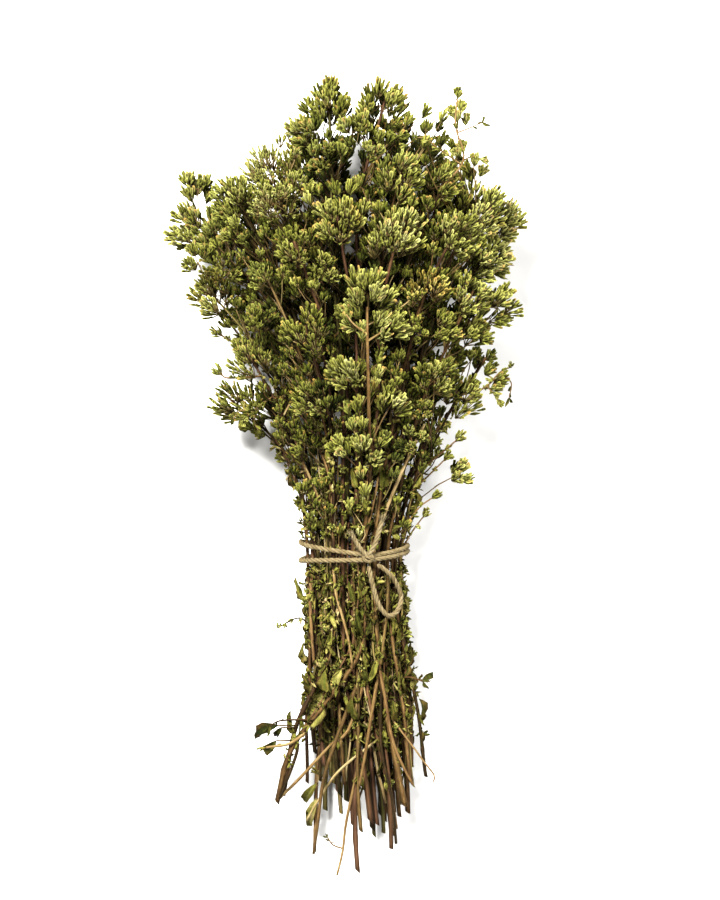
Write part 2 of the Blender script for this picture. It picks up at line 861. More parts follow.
def cone_directions(axis: Points, count: int, half_angle: float, turn: float) -> Points:
    """Directions spread evenly in a cone about an axis, the first nearest to it.

    Args:
        axis: The cone's axis.
        count: How many.
        half_angle: The cone's half angle, in radians.
        turn: The turn of the first about the axis.

    Returns:
        Unit directions, one a row.
    """
    steps = np.arange(count)
    cosines = 1.0 - (steps + 0.5) / count * (1.0 - math.cos(half_angle))
    sines = np.sqrt(1.0 - cosines ** 2)
    angles = turn + steps * GOLDEN_TURN
    first, second = side_axes(unit(axis)[None], np.zeros(1))
    return (
        cosines[:, None] * unit(axis)
        + (sines * np.cos(angles))[:, None] * first
        + (sines * np.sin(angles))[:, None] * second
    )


class Skin(Enum):
    """The finishes that a plant piece wears, in the order of its material slots."""

    STEM = 0
    FLORET = 1
    LEAF = 2


@dataclass
class MeshBag:
    """Closed meshes gathered into one, with four painting values at each point.

    The values are, in order: the share along, the share across or out, a value of the
    piece's own, and its tone.
    """

    spots: list[Points] = field(default_factory=list)
    corners: list[Points] = field(default_factory=list)
    paints: list[Points] = field(default_factory=list)
    skins: list[Points] = field(default_factory=list)
    smooth: list[Points] = field(default_factory=list)
    count: int = 0
    spikelets: int = 0

    def add(self, spots: Points, corners: Points, paint: Points, skin: Skin, smooth: bool) -> None:
        """Add points, triangles and painting values with one finish.

        Args:
            spots: The points.
            corners: The triangles.
            paint: Four painting values a point.
            skin: The finish.
            smooth: Whether they are shaded smooth.
        """
        self.spots.append(spots)
        self.corners.append(corners + self.count)
        self.paints.append(paint)
        self.skins.append(np.full(len(corners), skin.value))
        self.smooth.append(np.full(len(corners), smooth))
        self.count += len(spots)

    def add_copies(
        self, spots: Points, corners: Points, paint: Points, skin: Skin, smooth: bool
    ) -> None:
        """Add many copies of one form.

        Args:
            spots: Points of each copy, an array of copies by points by three.
            corners: The form's triangles.
            paint: Painting values, an array of copies by points by four.
            skin: The copies' finish.
            smooth: Whether the copies are shaded smooth.
        """
        copies, size = spots.shape[:2]
        shifts = (np.arange(copies) * size)[:, None, None]
        self.add(
            spots.reshape(-1, 3), (corners[None] + shifts).reshape(-1, 3),
            paint.reshape(-1, 4), skin, smooth)

    def triangles(self) -> int:
        """How many triangles the bag holds."""
        return sum(len(corners) for corners in self.corners)

    def to_object(self, name: str, materials: Sequence[bpy.types.Material]) -> bpy.types.Object:
        """Make one object of all that was added, resting on the ground.

        Args:
            name: The object's name.
            materials: Its materials, in slot order.

        Returns:
            The object, linked to the scene.
        """
        spots = in_frame(np.concatenate(self.spots))
        spots[:, 2] = np.maximum(spots[:, 2], 0.0)
        corners = np.concatenate(self.corners)
        mesh = bpy.data.meshes.new(name)
        mesh.vertices.add(len(spots))
        mesh.vertices.foreach_set("co", spots.astype(np.float32).ravel())
        mesh.loops.add(corners.size)
        mesh.loops.foreach_set("vertex_index", corners.astype(np.int32).ravel())
        mesh.polygons.add(len(corners))
        mesh.polygons.foreach_set("loop_start", np.arange(0, corners.size, 3, dtype=np.int32))
        mesh.polygons.foreach_set("material_index", np.concatenate(self.skins).astype(np.int32))
        mesh.polygons.foreach_set("use_smooth", np.concatenate(self.smooth))
        paint = mesh.attributes.new("paint", "FLOAT_COLOR", "POINT")
        paint.data.foreach_set("color", np.concatenate(self.paints).astype(np.float32).ravel())
        mesh.update(calc_edges=True)
        mesh.validate()
        for material in materials:
            mesh.materials.append(material)
        made = bpy.data.objects.new(name, mesh)
        bpy.context.scene.collection.objects.link(made)
        return made


def carried_axes(points: Points, closed: bool) -> tuple[Points, Points, Points]:
    """Directions along a line, and two axes across that turn as little as they can.

    Args:
        points: The line's points.
        closed: Whether the line meets itself.

    Returns:
        The directions, and the first and second axes across.
    """
    if closed:
        runs = unit(np.roll(points, -1, axis=0) - np.roll(points, 1, axis=0))
        up = np.array((0.0, 1.0, 0.0))
        first = unit(np.cross(up, runs))
        return runs, first, np.cross(runs, first)
    runs = unit(np.gradient(points, axis=0))
    first = np.zeros_like(points)
    helper = np.array((0.0, 0.0, 1.0)) if abs(runs[0, 2]) < 0.9 else np.array((1.0, 0.0, 0.0))
    first[0] = unit(np.cross(helper, runs[0]))
    for step in range(1, len(points)):
        across = first[step - 1] - runs[step] * np.dot(first[step - 1], runs[step])
        first[step] = unit(across)
    return runs, first, np.cross(runs, first)


# The value along that marks the middle of a cut end, and its share at the edge of the cut
CUT_MARK = -4.0
CUT_EDGE = 0.25
# Millimetres of length for each unit of the value along
ALONG_UNIT = 10.0


def tube_form(rings: int, sides: int, closed: bool) -> Points:
    """The triangles of a tube of rings, capped by two end points unless it is closed.

    Args:
        rings: How many rings.
        sides: How many points a ring has.
        closed: Whether the tube meets itself.

    Returns:
        The triangles.
    """
    ring, side = np.meshgrid(np.arange(rings if closed else rings - 1), np.arange(sides), indexing="ij")
    ahead = (ring + 1) % rings
    beside = (side + 1) % sides
    a, b = ring * sides + side, ring * sides + beside
    c, d = ahead * sides + beside, ahead * sides + side
    walls = np.concatenate([np.stack([a, b, c], -1), np.stack([a, c, d], -1)]).reshape(-1, 3)
    if closed:
        return walls
    start, end = rings * sides, rings * sides + 1
    around = np.arange(sides)
    after = (around + 1) % sides
    last = (rings - 1) * sides
    foot = np.stack([np.full(sides, start), after, around], -1)
    top = np.stack([np.full(sides, end), last + around, last + after], -1)
    return np.concatenate([walls, foot, top])


def add_tube(
    bag: MeshBag, points: Points, radii: Points, sides: int, tone: float | Points, own: float,
    ribs: float = 0.0, closed: bool = False, slant: float = 0.0,
) -> None:
    """Add a tube whose section can be ribbed.

    Args:
        bag: Where the tube goes.
        points: The tube's middle line.
        radii: Its radius at each point.
        sides: How many sides the section has.
        tone: The tone that it is painted in, or one for each point.
        own: A value of its own for the painting.
        ribs: How far every other side stands in, as a share of the radius.
        closed: Whether it meets itself.
        slant: How steeply its first end is cut, or 0 where it isn't.
    """
    runs, first, second = carried_axes(points, closed)
    angles = np.arange(sides) * math.tau / sides
    out = 1.0 - ribs * (np.arange(sides) % 2)
    wide = (out * np.cos(angles))[None, :, None]
    tall = (out * np.sin(angles))[None, :, None]
    section = first[:, None] * wide + second[:, None] * tall
    rings = points[:, None] + section * np.asarray(radii)[:, None, None]
    rings[0] += runs[0] * wide[0] * radii[0] * slant
    spots = rings.reshape(-1, 3)
    tones = np.broadcast_to(tone, len(points))
    lengths = lengths_along(points)
    across = np.tile(out if ribs else np.arange(sides) / sides, len(points))
    paint = np.stack([
        np.repeat(lengths / ALONG_UNIT, sides), across, np.full(len(spots), own),
        np.repeat(tones, sides)], -1)
    if not closed:
        spots = np.vstack([spots, points[:1] - runs[:1] * 0.05, points[-1:] + runs[-1:] * 0.1])
        ends = np.array([
            (lengths[0], 0.5, own, tones[0]), (lengths[-1] / ALONG_UNIT, 0.5, own, tones[-1])])
        paint = np.vstack([paint, ends])
        if slant:
            paint[-2, 0] = CUT_MARK
            paint[:sides, 0] = CUT_MARK * CUT_EDGE
    bag.add(spots, tube_form(len(points), sides, closed), paint, Skin.STEM, True)


def add_rods(
    bag: MeshBag, starts: Points, ends: Points, radii: Span, tone: float, own: Points
) -> None:
    """Add many slim straight three-sided stalks.

    Args:
        bag: Where the stalks go.
        starts: Where each starts.
        ends: Where each ends.
        radii: The radius at the starts and at the ends.
        tone: Their tone.
        own: Their own values.
    """
    count = len(starts)
    if not count:
        return
    runs = unit(ends - starts)
    first, second = side_axes(runs, own * 20.0)
    rings = []
    for centre, radius in zip((starts, ends), radii):
        for angle in (0.0, math.tau / 3.0, math.tau * 2.0 / 3.0):
            across = first * math.cos(angle) + second * math.sin(angle)
            rings.append(centre + across * radius)
    spots = np.stack(rings, axis=1)
    corners = [(0, 2, 1), (3, 4, 5)]
    for here, there in ((0, 1), (1, 2), (2, 0)):
        corners += [(here, there, there + 3), (here, there + 3, here + 3)]
    paint = np.zeros((count, 6, 4))
    paint[:, :, 0] = np.array([0.0] * 3 + [1.0] * 3)[None]
    paint[:, :, 1] = 0.8
    paint[:, :, 2] = own[:, None]
    paint[:, :, 3] = tone
    bag.add_copies(spots, np.array(corners), paint, Skin.STEM, True)


class Floret:
    """One spikelet: a closed spindle with lengthwise ribs, its bracts standing out in steps."""

    foot_power = 0.5
    tip_power = 0.38
    fullness = 1.5
    bract_reach, furrow_reach = 1.15, 0.72
    bract_rise, furrow_rise = 0.4, -0.2
    flaw = 0.1
    bow = 0.08

    def __init__(self, sides: int, rows: int, seed: int) -> None:
        """Work out the form once, at length one and half width one.

        Args:
            sides: Points round each row.
            rows: Rows of points along it.
            seed: The seed of its small flaws.
        """
        rng = np.random.default_rng(seed)
        spots = []
        lift = []
        for row in range(rows):
            level = (row + 0.75) / (rows + 0.35)
            width = (level ** self.foot_power) * ((1.0 - level) ** self.tip_power) * self.fullness
            for side in range(sides):
                outer = (side + row // 2) % 2 == 0
                angle = (side + rng.uniform(-0.15, 0.15)) * math.tau / sides
                reach = width * (self.bract_reach if outer else self.furrow_reach)
                reach *= rng.uniform(1.0 - self.flaw, 1.0 + self.flaw)
                rise = level + (self.bract_rise if outer else self.furrow_rise) / rows
                spots.append((reach * math.cos(angle), reach * math.sin(angle), min(rise, 0.97)))
                lift.append(1.0 if outer else 0.0)
        spots += [(0.0, 0.0, 0.0), (0.0, 0.0, 1.0)]
        lift += [0.0, 0.8]
        self.spots = np.array(spots)
        self.lift = np.array(lift)
        self.corners = tube_form(rows, sides, False)

    def place(
        self, bag: MeshBag, bases: Points, runs: Points, lengths: Points, widths: Points,
        tones: Points, own: Points,
    ) -> None:
        """Add one spikelet for each base.

        Args:
            bag: Where the spikelets go.
            bases: Where each stands on its stalk.
            runs: The way each points.
            lengths: Their lengths.
            widths: Their widths.
            tones: Their tones.
            own: Their own values.
        """
        if not len(bases):
            return
        first, second = side_axes(runs, own * 97.0)
        form = self.spots[None]
        half = (widths * 0.5)[:, None, None]
        bows = (own * 2.0 - 1.0) * self.bow * lengths
        bow = (form[:, :, 2:3] ** 2) * bows[:, None, None]
        spots = (
            bases[:, None]
            + runs[:, None] * form[:, :, 2:3] * lengths[:, None, None]
            + first[:, None] * (form[:, :, 0:1] * half + bow)
            + second[:, None] * form[:, :, 1:2] * half
        )
        paint = np.zeros((len(bases), len(self.spots), 4))
        paint[:, :, 0] = self.spots[None, :, 2]
        paint[:, :, 1] = self.lift[None]
        paint[:, :, 2] = own[:, None]
        paint[:, :, 3] = tones[:, None]
        bag.add_copies(spots, self.corners, paint, Skin.FLORET, False)
        bag.spikelets += len(bases)


FLORETS = [Floret(5, 4, seed) for seed in (3, 5, 8, 13)]
PLAIN_FLORETS = [Floret(4, 3, seed) for seed in (4, 9, 15)]
DEEP_FLORETS = [Floret(3, 3, seed) for seed in (6, 10)]


# Leaf outlines: the share along and the share of the width there
LEAF_OUTLINE = (
    (0.0, 0.1), (0.14, 0.62), (0.32, 0.98), (0.52, 1.0), (0.72, 0.78), (0.88, 0.46), (1.0, 0.05))
SMALL_OUTLINE = ((0.0, 0.14), (0.34, 1.0), (0.72, 0.74), (1.0, 0.08))


@dataclass
class Foliage:
    """Leaves of one outline, gathered as rows of values and built together."""

    outline: tuple = LEAF_OUTLINE
    columns: int = 5
    thickness: float = 0.22
    crumple: float = 0.5
    waves: tuple[float, float, float] = (9.0, 4.0, 40.0)
    least_curl: float = 0.05
    fold_reach: float = 0.8
    rows: list[tuple] = field(default_factory=list)

    def add(
        self, root: Points, run: Points, face: Points, length: float, width: float,
        curl: float, fold: float, twist: float, tone: float, own: float,
    ) -> None:
        """Note one leaf: its place, its ways, its size, its bends in radians and its painting values."""
        self.rows.append((*root, *unit(run), *face, length, width, curl, fold, twist, tone, own))

    def build(self, bag: MeshBag) -> None:
        """Add every noted leaf to a bag as a thin closed blade.

        Args:
            bag: Where the leaves go.
        """
        if not self.rows:
            return
        table = np.array(self.rows)
        root, run, face = table[:, 0:3], table[:, 3:6], table[:, 6:9]
        length, width, curl, fold, twist, tone, own = table[:, 9:16].T
        face = unit(face - run * (face * run).sum(axis=1)[:, None])
        side = np.cross(run, face)
        curl = np.where(np.abs(curl) < self.least_curl, self.least_curl, curl)
        along, aside, apart = self.waves
        top, under, paints, under_paints = [], [], [], []
        last = len(self.outline) - 1
        for row, (share, wide) in enumerate(self.outline):
            angle = curl * share
            ahead = np.sin(angle) / curl * length
            drop = (1.0 - np.cos(angle)) / curl * length
            middle = root + run * ahead[:, None] - face * drop[:, None]
            up = face * np.cos(angle)[:, None] + run * np.sin(angle)[:, None]
            turn = (twist * share)[:, None]
            across = side * np.cos(turn) + up * np.sin(turn)
            lift = up * np.cos(turn) - side * np.sin(turn)
            half = width * 0.5 * wide
            for edge in np.linspace(-1.0, 1.0, self.columns):
                wave = self.crumple * np.sin(share * along + edge * aside + own * apart)
                bend = fold * abs(edge)
                rise = half * (np.sin(bend) + wave) * abs(edge)
                reach = half * edge * np.cos(bend * self.fold_reach)
                spot = middle + across * reach[:, None] + lift * rise[:, None]
                top.append(spot)
                paints.append((share, abs(edge)))
                if 0 < row < last and abs(edge) < 1.0:
                    under.append(spot - lift * self.thickness)
                    under_paints.append((share, abs(edge)))
        spots = np.stack(top + under, axis=1)
        paint = np.zeros((len(table), spots.shape[1], 4))
        paint[:, :, :2] = np.array(paints + under_paints)[None]
        paint[:, :, 2] = own[:, None]
        paint[:, :, 3] = tone[:, None]
        bag.add_copies(spots, self.form(last + 1, self.columns), paint, Skin.LEAF, True)

    @staticmethod
    def form(rows: int, columns: int) -> Points:
        """The triangles of a closed blade whose two faces meet at its edges.

        Args:
            rows: How many rows of points the blade has along it.
            columns: How many points each row has.

        Returns:
            The triangles.
        """
        upper = np.arange(rows * columns).reshape(rows, columns)
        lower = upper.copy()
        inner = np.arange((rows - 2) * (columns - 2)).reshape(rows - 2, columns - 2)
        lower[1:-1, 1:-1] = rows * columns + inner
        corners = []
        for grid, flip in ((upper, False), (lower, True)):
            for row, column in product(range(rows - 1), range(columns - 1)):
                a, b = grid[row, column], grid[row, column + 1]
                c, d = grid[row + 1, column + 1], grid[row + 1, column]
                corners += [(a, c, b), (a, d, c)] if flip else [(a, b, c), (a, c, d)]
        return np.array(corners)


# Flower heads and sprigs


@dataclass(frozen=True)
class FlowerSizes:
    """Sizes that every flower head shares, in millimetres and radians."""

    clusters_per_square: float = 0.052
    least_clusters: int = 4
    cap: float = math.radians(112.0)
    out_share: float = 0.44
    axis_share: float = 0.82
    reach: Span = (0.84, 1.04)
    fan_height: float = 14.0
    fan_share: float = 1.04
    fan_cone: float = math.radians(37.0)
    fan_dome: float = 0.24
    fan_full: float = 9.0
    fan_heights: Span = (0.9, 1.1)
    tops: Span = (0.86, 1.06)
    lengths: Span = (0.82, 1.12)
    widths: Span = (0.85, 1.12)
    unevenness: float = 0.07
    spikelets: tuple[int, int] = (12, 18)
    pedicel: Span = (0.26, 0.2)
    branchlet: Span = (0.45, 0.32)
    shade: float = 0.3
    stalk_tone: float = 0.5
    deep_shift: float = -0.2
    fork_share: float = 0.35
    inner_shade: float = 0.7
    branchlet_bow: float = 0.06
    branchlet_taper: float = 0.75
    palest_branchlet: float = 0.5
    gather: float = 0.2
    stalk_inside: float = 0.12
    fan_tones: float = 0.05
    spikelet_tones: float = 0.03


FLOWERS = FlowerSizes()


@dataclass(frozen=True)
class PlantLook:
    """How one spray's flowers look: their tone, and their spikelets' length and width."""

    tone: float
    length: float
    width: float


FRONT_LOOKS = [PlantLook(*row) for row in (
    (0.66, 10.2, 2.2), (0.66, 8.0, 2.1), (0.42, 6.0, 1.9), (0.42, 5.4, 1.7), (0.5, 5.6, 1.75),
    (0.46, 5.2, 1.7), (0.48, 5.8, 1.8), (0.6, 7.0, 2.15), (0.54, 6.2, 2.0), (0.64, 4.8, 1.6),
    (0.46, 5.2, 1.75), (0.52, 6.0, 1.95), (0.6, 7.4, 2.1), (0.5, 7.6, 2.1), (0.52, 7.6, 2.2),
    (0.54, 7.0, 2.1), (0.66, 6.8, 2.1), (0.5, 6.8, 2.1), (0.6, 7.0, 2.0), (0.64, 7.0, 2.0),
    (0.54, 6.4, 2.0), (0.5, 6.2, 1.95), (0.54, 6.4, 2.0), (0.52, 6.2, 1.9), (0.5, 6.0, 1.9),
    (0.58, 6.0, 1.9),
)]
BACK_LOOK = PlantLook(0.46, 6.8, 2.15)


@dataclass
class Flowers:
    """One spray's flowers: fans of spikelets on domes, each carried by a tuft of branchlets."""

    bag: MeshBag
    look: PlantLook
    rng: np.random.Generator
    stem_tone: float

    def grow_head(self, head: Head, plain: bool) -> None:
        """Build a head's branchlets, stalks and spikelets.

        Args:
            head: The head.
            plain: Whether its spikelets are simpler, as on heads that don't show.
        """
        rng = self.rng
        axis = unit(head.middle - head.foot)
        wanted = round(FLOWERS.clusters_per_square * head.radius ** 2)
        count = max(FLOWERS.least_clusters, wanted)
        ways = cone_directions(axis, count, FLOWERS.cap, rng.uniform(0.0, math.tau))
        ways = unit(ways + rng.normal(0.0, 0.1, ways.shape))
        fork = head.middle - axis * head.radius * FLOWERS.fork_share
        self.grow_branchlet(head.foot, fork, FLOWERS.branchlet[0])
        across, height = table_at(CROWN, head.middle[1])[:2]
        inward = unit(np.array([across, head.middle[1], height]) - head.middle)
        for way in ways:
            lean = way * FLOWERS.out_share + axis * FLOWERS.axis_share
            fan = unit(lean + rng.normal(0.0, FLOWERS.unevenness, 3))
            height = min(head.radius * FLOWERS.fan_share, FLOWERS.fan_height)
            height *= rng.uniform(*FLOWERS.fan_heights)
            top = head.middle + way * head.radius * rng.uniform(*FLOWERS.reach)
            base = top - fan * height
            facing_in = FLOWERS.inner_shade * max(0.0, float(way @ inward))
            depth = max(0.0, 1.0 - out_share(CROWN, top) ** 2) + facing_in
            self.grow_branchlet(fork, base, FLOWERS.branchlet[1])
            self.grow_fan(base, fan, height, 0, plain, -FLOWERS.shade * min(depth, 1.0))

    def grow_branchlet(self, start: Points, end: Points, radius: float) -> None:
        """Build one thin branchlet with a soft bend.

        Args:
            start: Where it starts.
            end: Where it ends.
            radius: Its radius.
        """
        span = float(np.linalg.norm(end - start))
        if span < 0.5:
            return
        shares = np.linspace(0.0, 1.0, 4)[:, None]
        bow = self.rng.normal(0.0, FLOWERS.branchlet_bow, 3) * span
        points = start + (end - start) * shares + bow * np.sin(shares * math.pi)
        radii = np.linspace(radius, radius * FLOWERS.branchlet_taper, 4)
        tone = min(self.stem_tone, FLOWERS.palest_branchlet) + 0.1
        add_tube(self.bag, points, radii, 3, tone, float(self.rng.uniform(0.2, 0.7)))

    def grow_fan(
        self, base: Points, fan: Points, height: float, count: int = 0, plain: bool = True,
        tone_shift: float = 0.0,
    ) -> None:
        """Build one fan of spikelets on stalks that part at its base.

        Args:
            base: Where its stalks part.
            fan: The way it faces.
            height: How high it is.
            count: How many spikelets it has, or 0 for the usual number.
            plain: Whether the spikelets are simpler.
            tone_shift: How much paler they are.
        """
        rng = self.rng
        count = count or int(rng.integers(*FLOWERS.spikelets))
        scale = min(1.0, height / FLOWERS.fan_full)
        runs = cone_directions(fan, count, FLOWERS.fan_cone, rng.uniform(0.0, math.tau))
        runs = unit(runs + rng.normal(0.0, FLOWERS.unevenness, runs.shape))
        tilts = np.arccos(np.clip(runs @ fan, -1.0, 1.0)) / FLOWERS.fan_cone
        dome = 1.0 - FLOWERS.fan_dome * tilts ** 2
        tops = base + runs * (height * dome * rng.uniform(*FLOWERS.tops, count))[:, None]
        lengths = self.look.length * (0.3 + 0.7 * scale) * rng.uniform(*FLOWERS.lengths, count)
        widths = self.look.width * (0.5 + 0.5 * scale) * rng.uniform(*FLOWERS.widths, count)
        runs = unit(runs + FLOWERS.gather * fan)
        feet = tops - runs * lengths[:, None]
        own = rng.random(count)
        tones = self.look.tone + tone_shift + rng.normal(0.0, FLOWERS.fan_tones)
        tones = tones + rng.normal(0.0, FLOWERS.spikelet_tones, count)
        forms = PLAIN_FLORETS if plain else FLORETS
        if plain and tone_shift < FLOWERS.deep_shift:
            forms = DEEP_FLORETS
        form = forms[int(rng.integers(len(forms)))]
        form.place(self.bag, feet, runs, lengths, widths, np.clip(tones, 0.0, 1.0), own)
        inside = feet + runs * (lengths * FLOWERS.stalk_inside)[:, None]
        starts = np.repeat(base[None], count, axis=0)
        add_rods(self.bag, starts, inside, FLOWERS.pedicel, FLOWERS.stalk_tone, own * 0.4)


@dataclass(frozen=True)
class TwigSizes:
    """Sizes of the side twigs that fill the crown between its flower heads, in millimetres."""

    spacing: float = 8.65
    jitter: float = 0.36
    alongs: Span = (20.0, 244.0)
    crown_share: float = 0.9
    least_height: float = 9.0
    room: float = 2.2
    least_drop: float = 7.0
    drop_share: float = 1.1
    reach: float = 30.0
    from_tip: float = 3.0
    radius: float = 0.42
    fan: Span = (6.5, 8.5)
    spikelets: tuple[int, int] = (7, 10)
    inner_tone: float = -0.5
    core_share: float = 0.5
    open_above: float = 198.0
    thinning: float = 0.45
    along_share: float = 0.6
    base_share: float = 0.8


TWIGS = TwigSizes()


@dataclass
class Twig:
    """One side twig: where it leaves its stem, and its fan's top and tone."""

    root: Points
    top: Points
    fan: float
    tone_shift: float


def share_twigs(sprays: Sequence[SprayPlan], space: Space) -> list[list[Twig]]:
    """Fill the free room in the crown with twigs, each from the nearest stem.

    Args:
        sprays: The settled sprays.
        space: Everything that they hold.

    Returns:
        The twigs of each spray.
    """
    rng = np.random.default_rng(SEED)
    step = TWIGS.spacing
    grid = np.stack(np.meshgrid(
        np.arange(-100.0, 100.0, step), np.arange(*TWIGS.alongs, step), np.arange(0.0, 112.0, step),
        indexing="ij"), axis=-1).reshape(-1, 3)
    grid += rng.uniform(-TWIGS.jitter, TWIGS.jitter, grid.shape) * step
    section = np.array([np.interp(grid[:, 1], CROWN[:, 0], CROWN[:, column]) for column in range(1, 5)])
    outs = np.hypot((grid[:, 0] - section[0]) / section[2], (grid[:, 2] - section[1]) / section[3])
    kept = (outs < TWIGS.crown_share) & (grid[:, 2] > TWIGS.least_height)
    grid, outs = grid[kept], outs[kept]
    front = grid[:, 2] > section[1][kept]
    aside = np.linalg.norm(grid[:, None, :2] - HOLLOWS[None], axis=2).min(axis=1)
    hollow = (aside < HOLLOW_REACH) & front
    sparse = (outs < TWIGS.core_share) | (grid[:, 1] > TWIGS.open_above)
    thinned = sparse & (rng.random(len(grid)) < TWIGS.thinning)
    roomy = (space.rooms(grid) > TWIGS.room) & ~hollow & ~thinned
    twigs: list[list[Twig]] = [[] for _ in sprays]
    for top, out in zip(grid[roomy], outs[roomy]):
        best, best_far = None, TWIGS.reach
        for spray in sprays:
            beside = spray.stem_at(min(top[1], spray.points[-1][1]))
            far = math.hypot(top[0] - beside[0], top[2] - beside[2])
            along = top[1] - TWIGS.least_drop - far * TWIGS.drop_share
            if far < best_far and spray.foot[1] < along < spray.points[-1][1] - TWIGS.from_tip:
                best, best_far = (spray, along), far
        if best:
            spray, along = best
            tone = TWIGS.inner_tone * (1.0 - out ** 2)
            fan = float(rng.uniform(*TWIGS.fan))
            twigs[spray.index].append(Twig(spray.stem_at(along), top, fan, tone))
    return twigs


@dataclass(frozen=True)
class TuftSizes:
    """Sizes of the tufts of small crumpled leaves along the outer stems and shoots."""

    alongs: Span = (-138.0, 108.0)
    steps: Span = (6.2, 11.6)
    leaves: tuple[int, int] = (3, 7)
    lengths: Span = (2.4, 5.6)
    shares: Span = (0.34, 0.6)
    leans: Span = (-0.9, 1.2)
    opens: Span = (0.3, 1.1)
    curls: Span = (-1.2, 3.2)
    folds: Span = (0.2, 1.3)
    twist: float = 0.8
    hanging: Span = (6.0, 13.0)
    hanging_curls: Span = (-0.9, 1.6)
    hanging_folds: Span = (0.4, 1.4)
    hanging_twist: float = 0.9
    hanging_share: float = 0.42
    hanging_shares: Span = (0.24, 0.46)
    hanging_below: float = -12.0
    tones: Curve = ((-120.0, -60.0, -20.0), (0.34, 0.42, 0.52))
    tone_spread: float = 0.2
    bud_share: float = 0.15
    buds: Span = (3.8, 6.0)
    bud_spikelets: tuple[int, int] = (4, 8)
    bud_look: PlantLook = PlantLook(0.5, 5.2, 2.1)
    outer: float = 0.42
    closed: float = 0.6
    clear_of_tie: float = 5.5
    sparse_below: float = -112.0
    sparse_above: float = 74.0
    sparse_share: float = 2.2
    lowest: float = 3.0


@dataclass(frozen=True)
class ShootSizes:
    """Sizes of the thin leafy shoots that run beside the stems, in millimetres."""

    counts: tuple[int, int] = (1, 3)
    starts: Span = (-152.0, -38.0)
    lengths: Span = (60.0, 140.0)
    aside: Span = (2.6, 5.0)
    outward: Span = (-0.4, 1.8)
    radii: Span = (0.42, 0.85)
    points: int = 18
    sides: int = 5
    ribs: float = 0.12
    taper: float = 0.6
    tones: Span = (0.05, 0.18)
    palest: float = 0.74
    ease: float = 22.0
    waist: float = 26.0
    sway: float = 0.9
    sway_length: float = 14.0
    fan: float = 6.5
    fan_spikelets: int = 7


@dataclass(frozen=True)
class StemLook:
    """How the stems differ: tones, thickness, cut and how far they wander at places along."""

    tones: tuple[float, ...] = (0.04, 0.2, 0.3, 0.38, 0.46, 0.56, 0.7)
    scales: Span = (0.56, 1.0)
    low_shade: Curve = ((-150.0, -100.0, -60.0), (0.16, 0.1, 0.0))
    slants: Span = (0.3, 1.3)
    shade: float = 0.46
    periods: Span = (17.0, 13.0)
    phases: Span = (0.0, 6.0)
    first_node: Span = (14.0, 24.0)
    node_steps: Span = (22.0, 36.0)
    plain_end: float = 8.0
    crown_from: float = 20.0
    node_swelling: float = 0.28
    node_length: float = 1.6
    wander: Curve = (
        (-155.0, -120.0, -60.0, -14.0, 14.0, 60.0, 200.0), (1.0, 1.1, 0.9, 0.1, 0.1, 1.0, 0.5))


STEM_LOOK = StemLook()
TUFTS = TuftSizes()
SHOOTS = ShootSizes()


class Tip(Enum):
    """What a stray twig ends in."""

    BARE = 0
    LEAVES = 1
    FAN = 2
    BUDS = 3


@dataclass(frozen=True)
class Stray:
    """A single twig or stem that stands out: its way across and along, its look and its end."""

    way: tuple[Span, ...]
    radius: float
    lift: float
    tone: float
    tip: Tip = Tip.BARE
    size: float = 0.0
    twigs: tuple["Stray", ...] = ()


@dataclass(frozen=True)
class StrayLook:
    """How every stray twig is built, with what it carries at which of its points."""

    points: int = 22
    sides: int = 6
    ribs: float = 0.12
    slant: float = 0.8
    taper: float = 0.7
    tones: float = 0.04
    arch: float = math.pi * 0.6
    end_spikelets: int = 9
    side_fans: tuple[int, ...] = (9, 14)
    side_share: float = 0.6
    side_spikelets: int = 4
    buds: tuple[int, ...] = (5, 9, 13, 17, 21)
    bud_spikelets: int = 5
    leaves: tuple[int, ...] = (-1, -1, -5, -9)


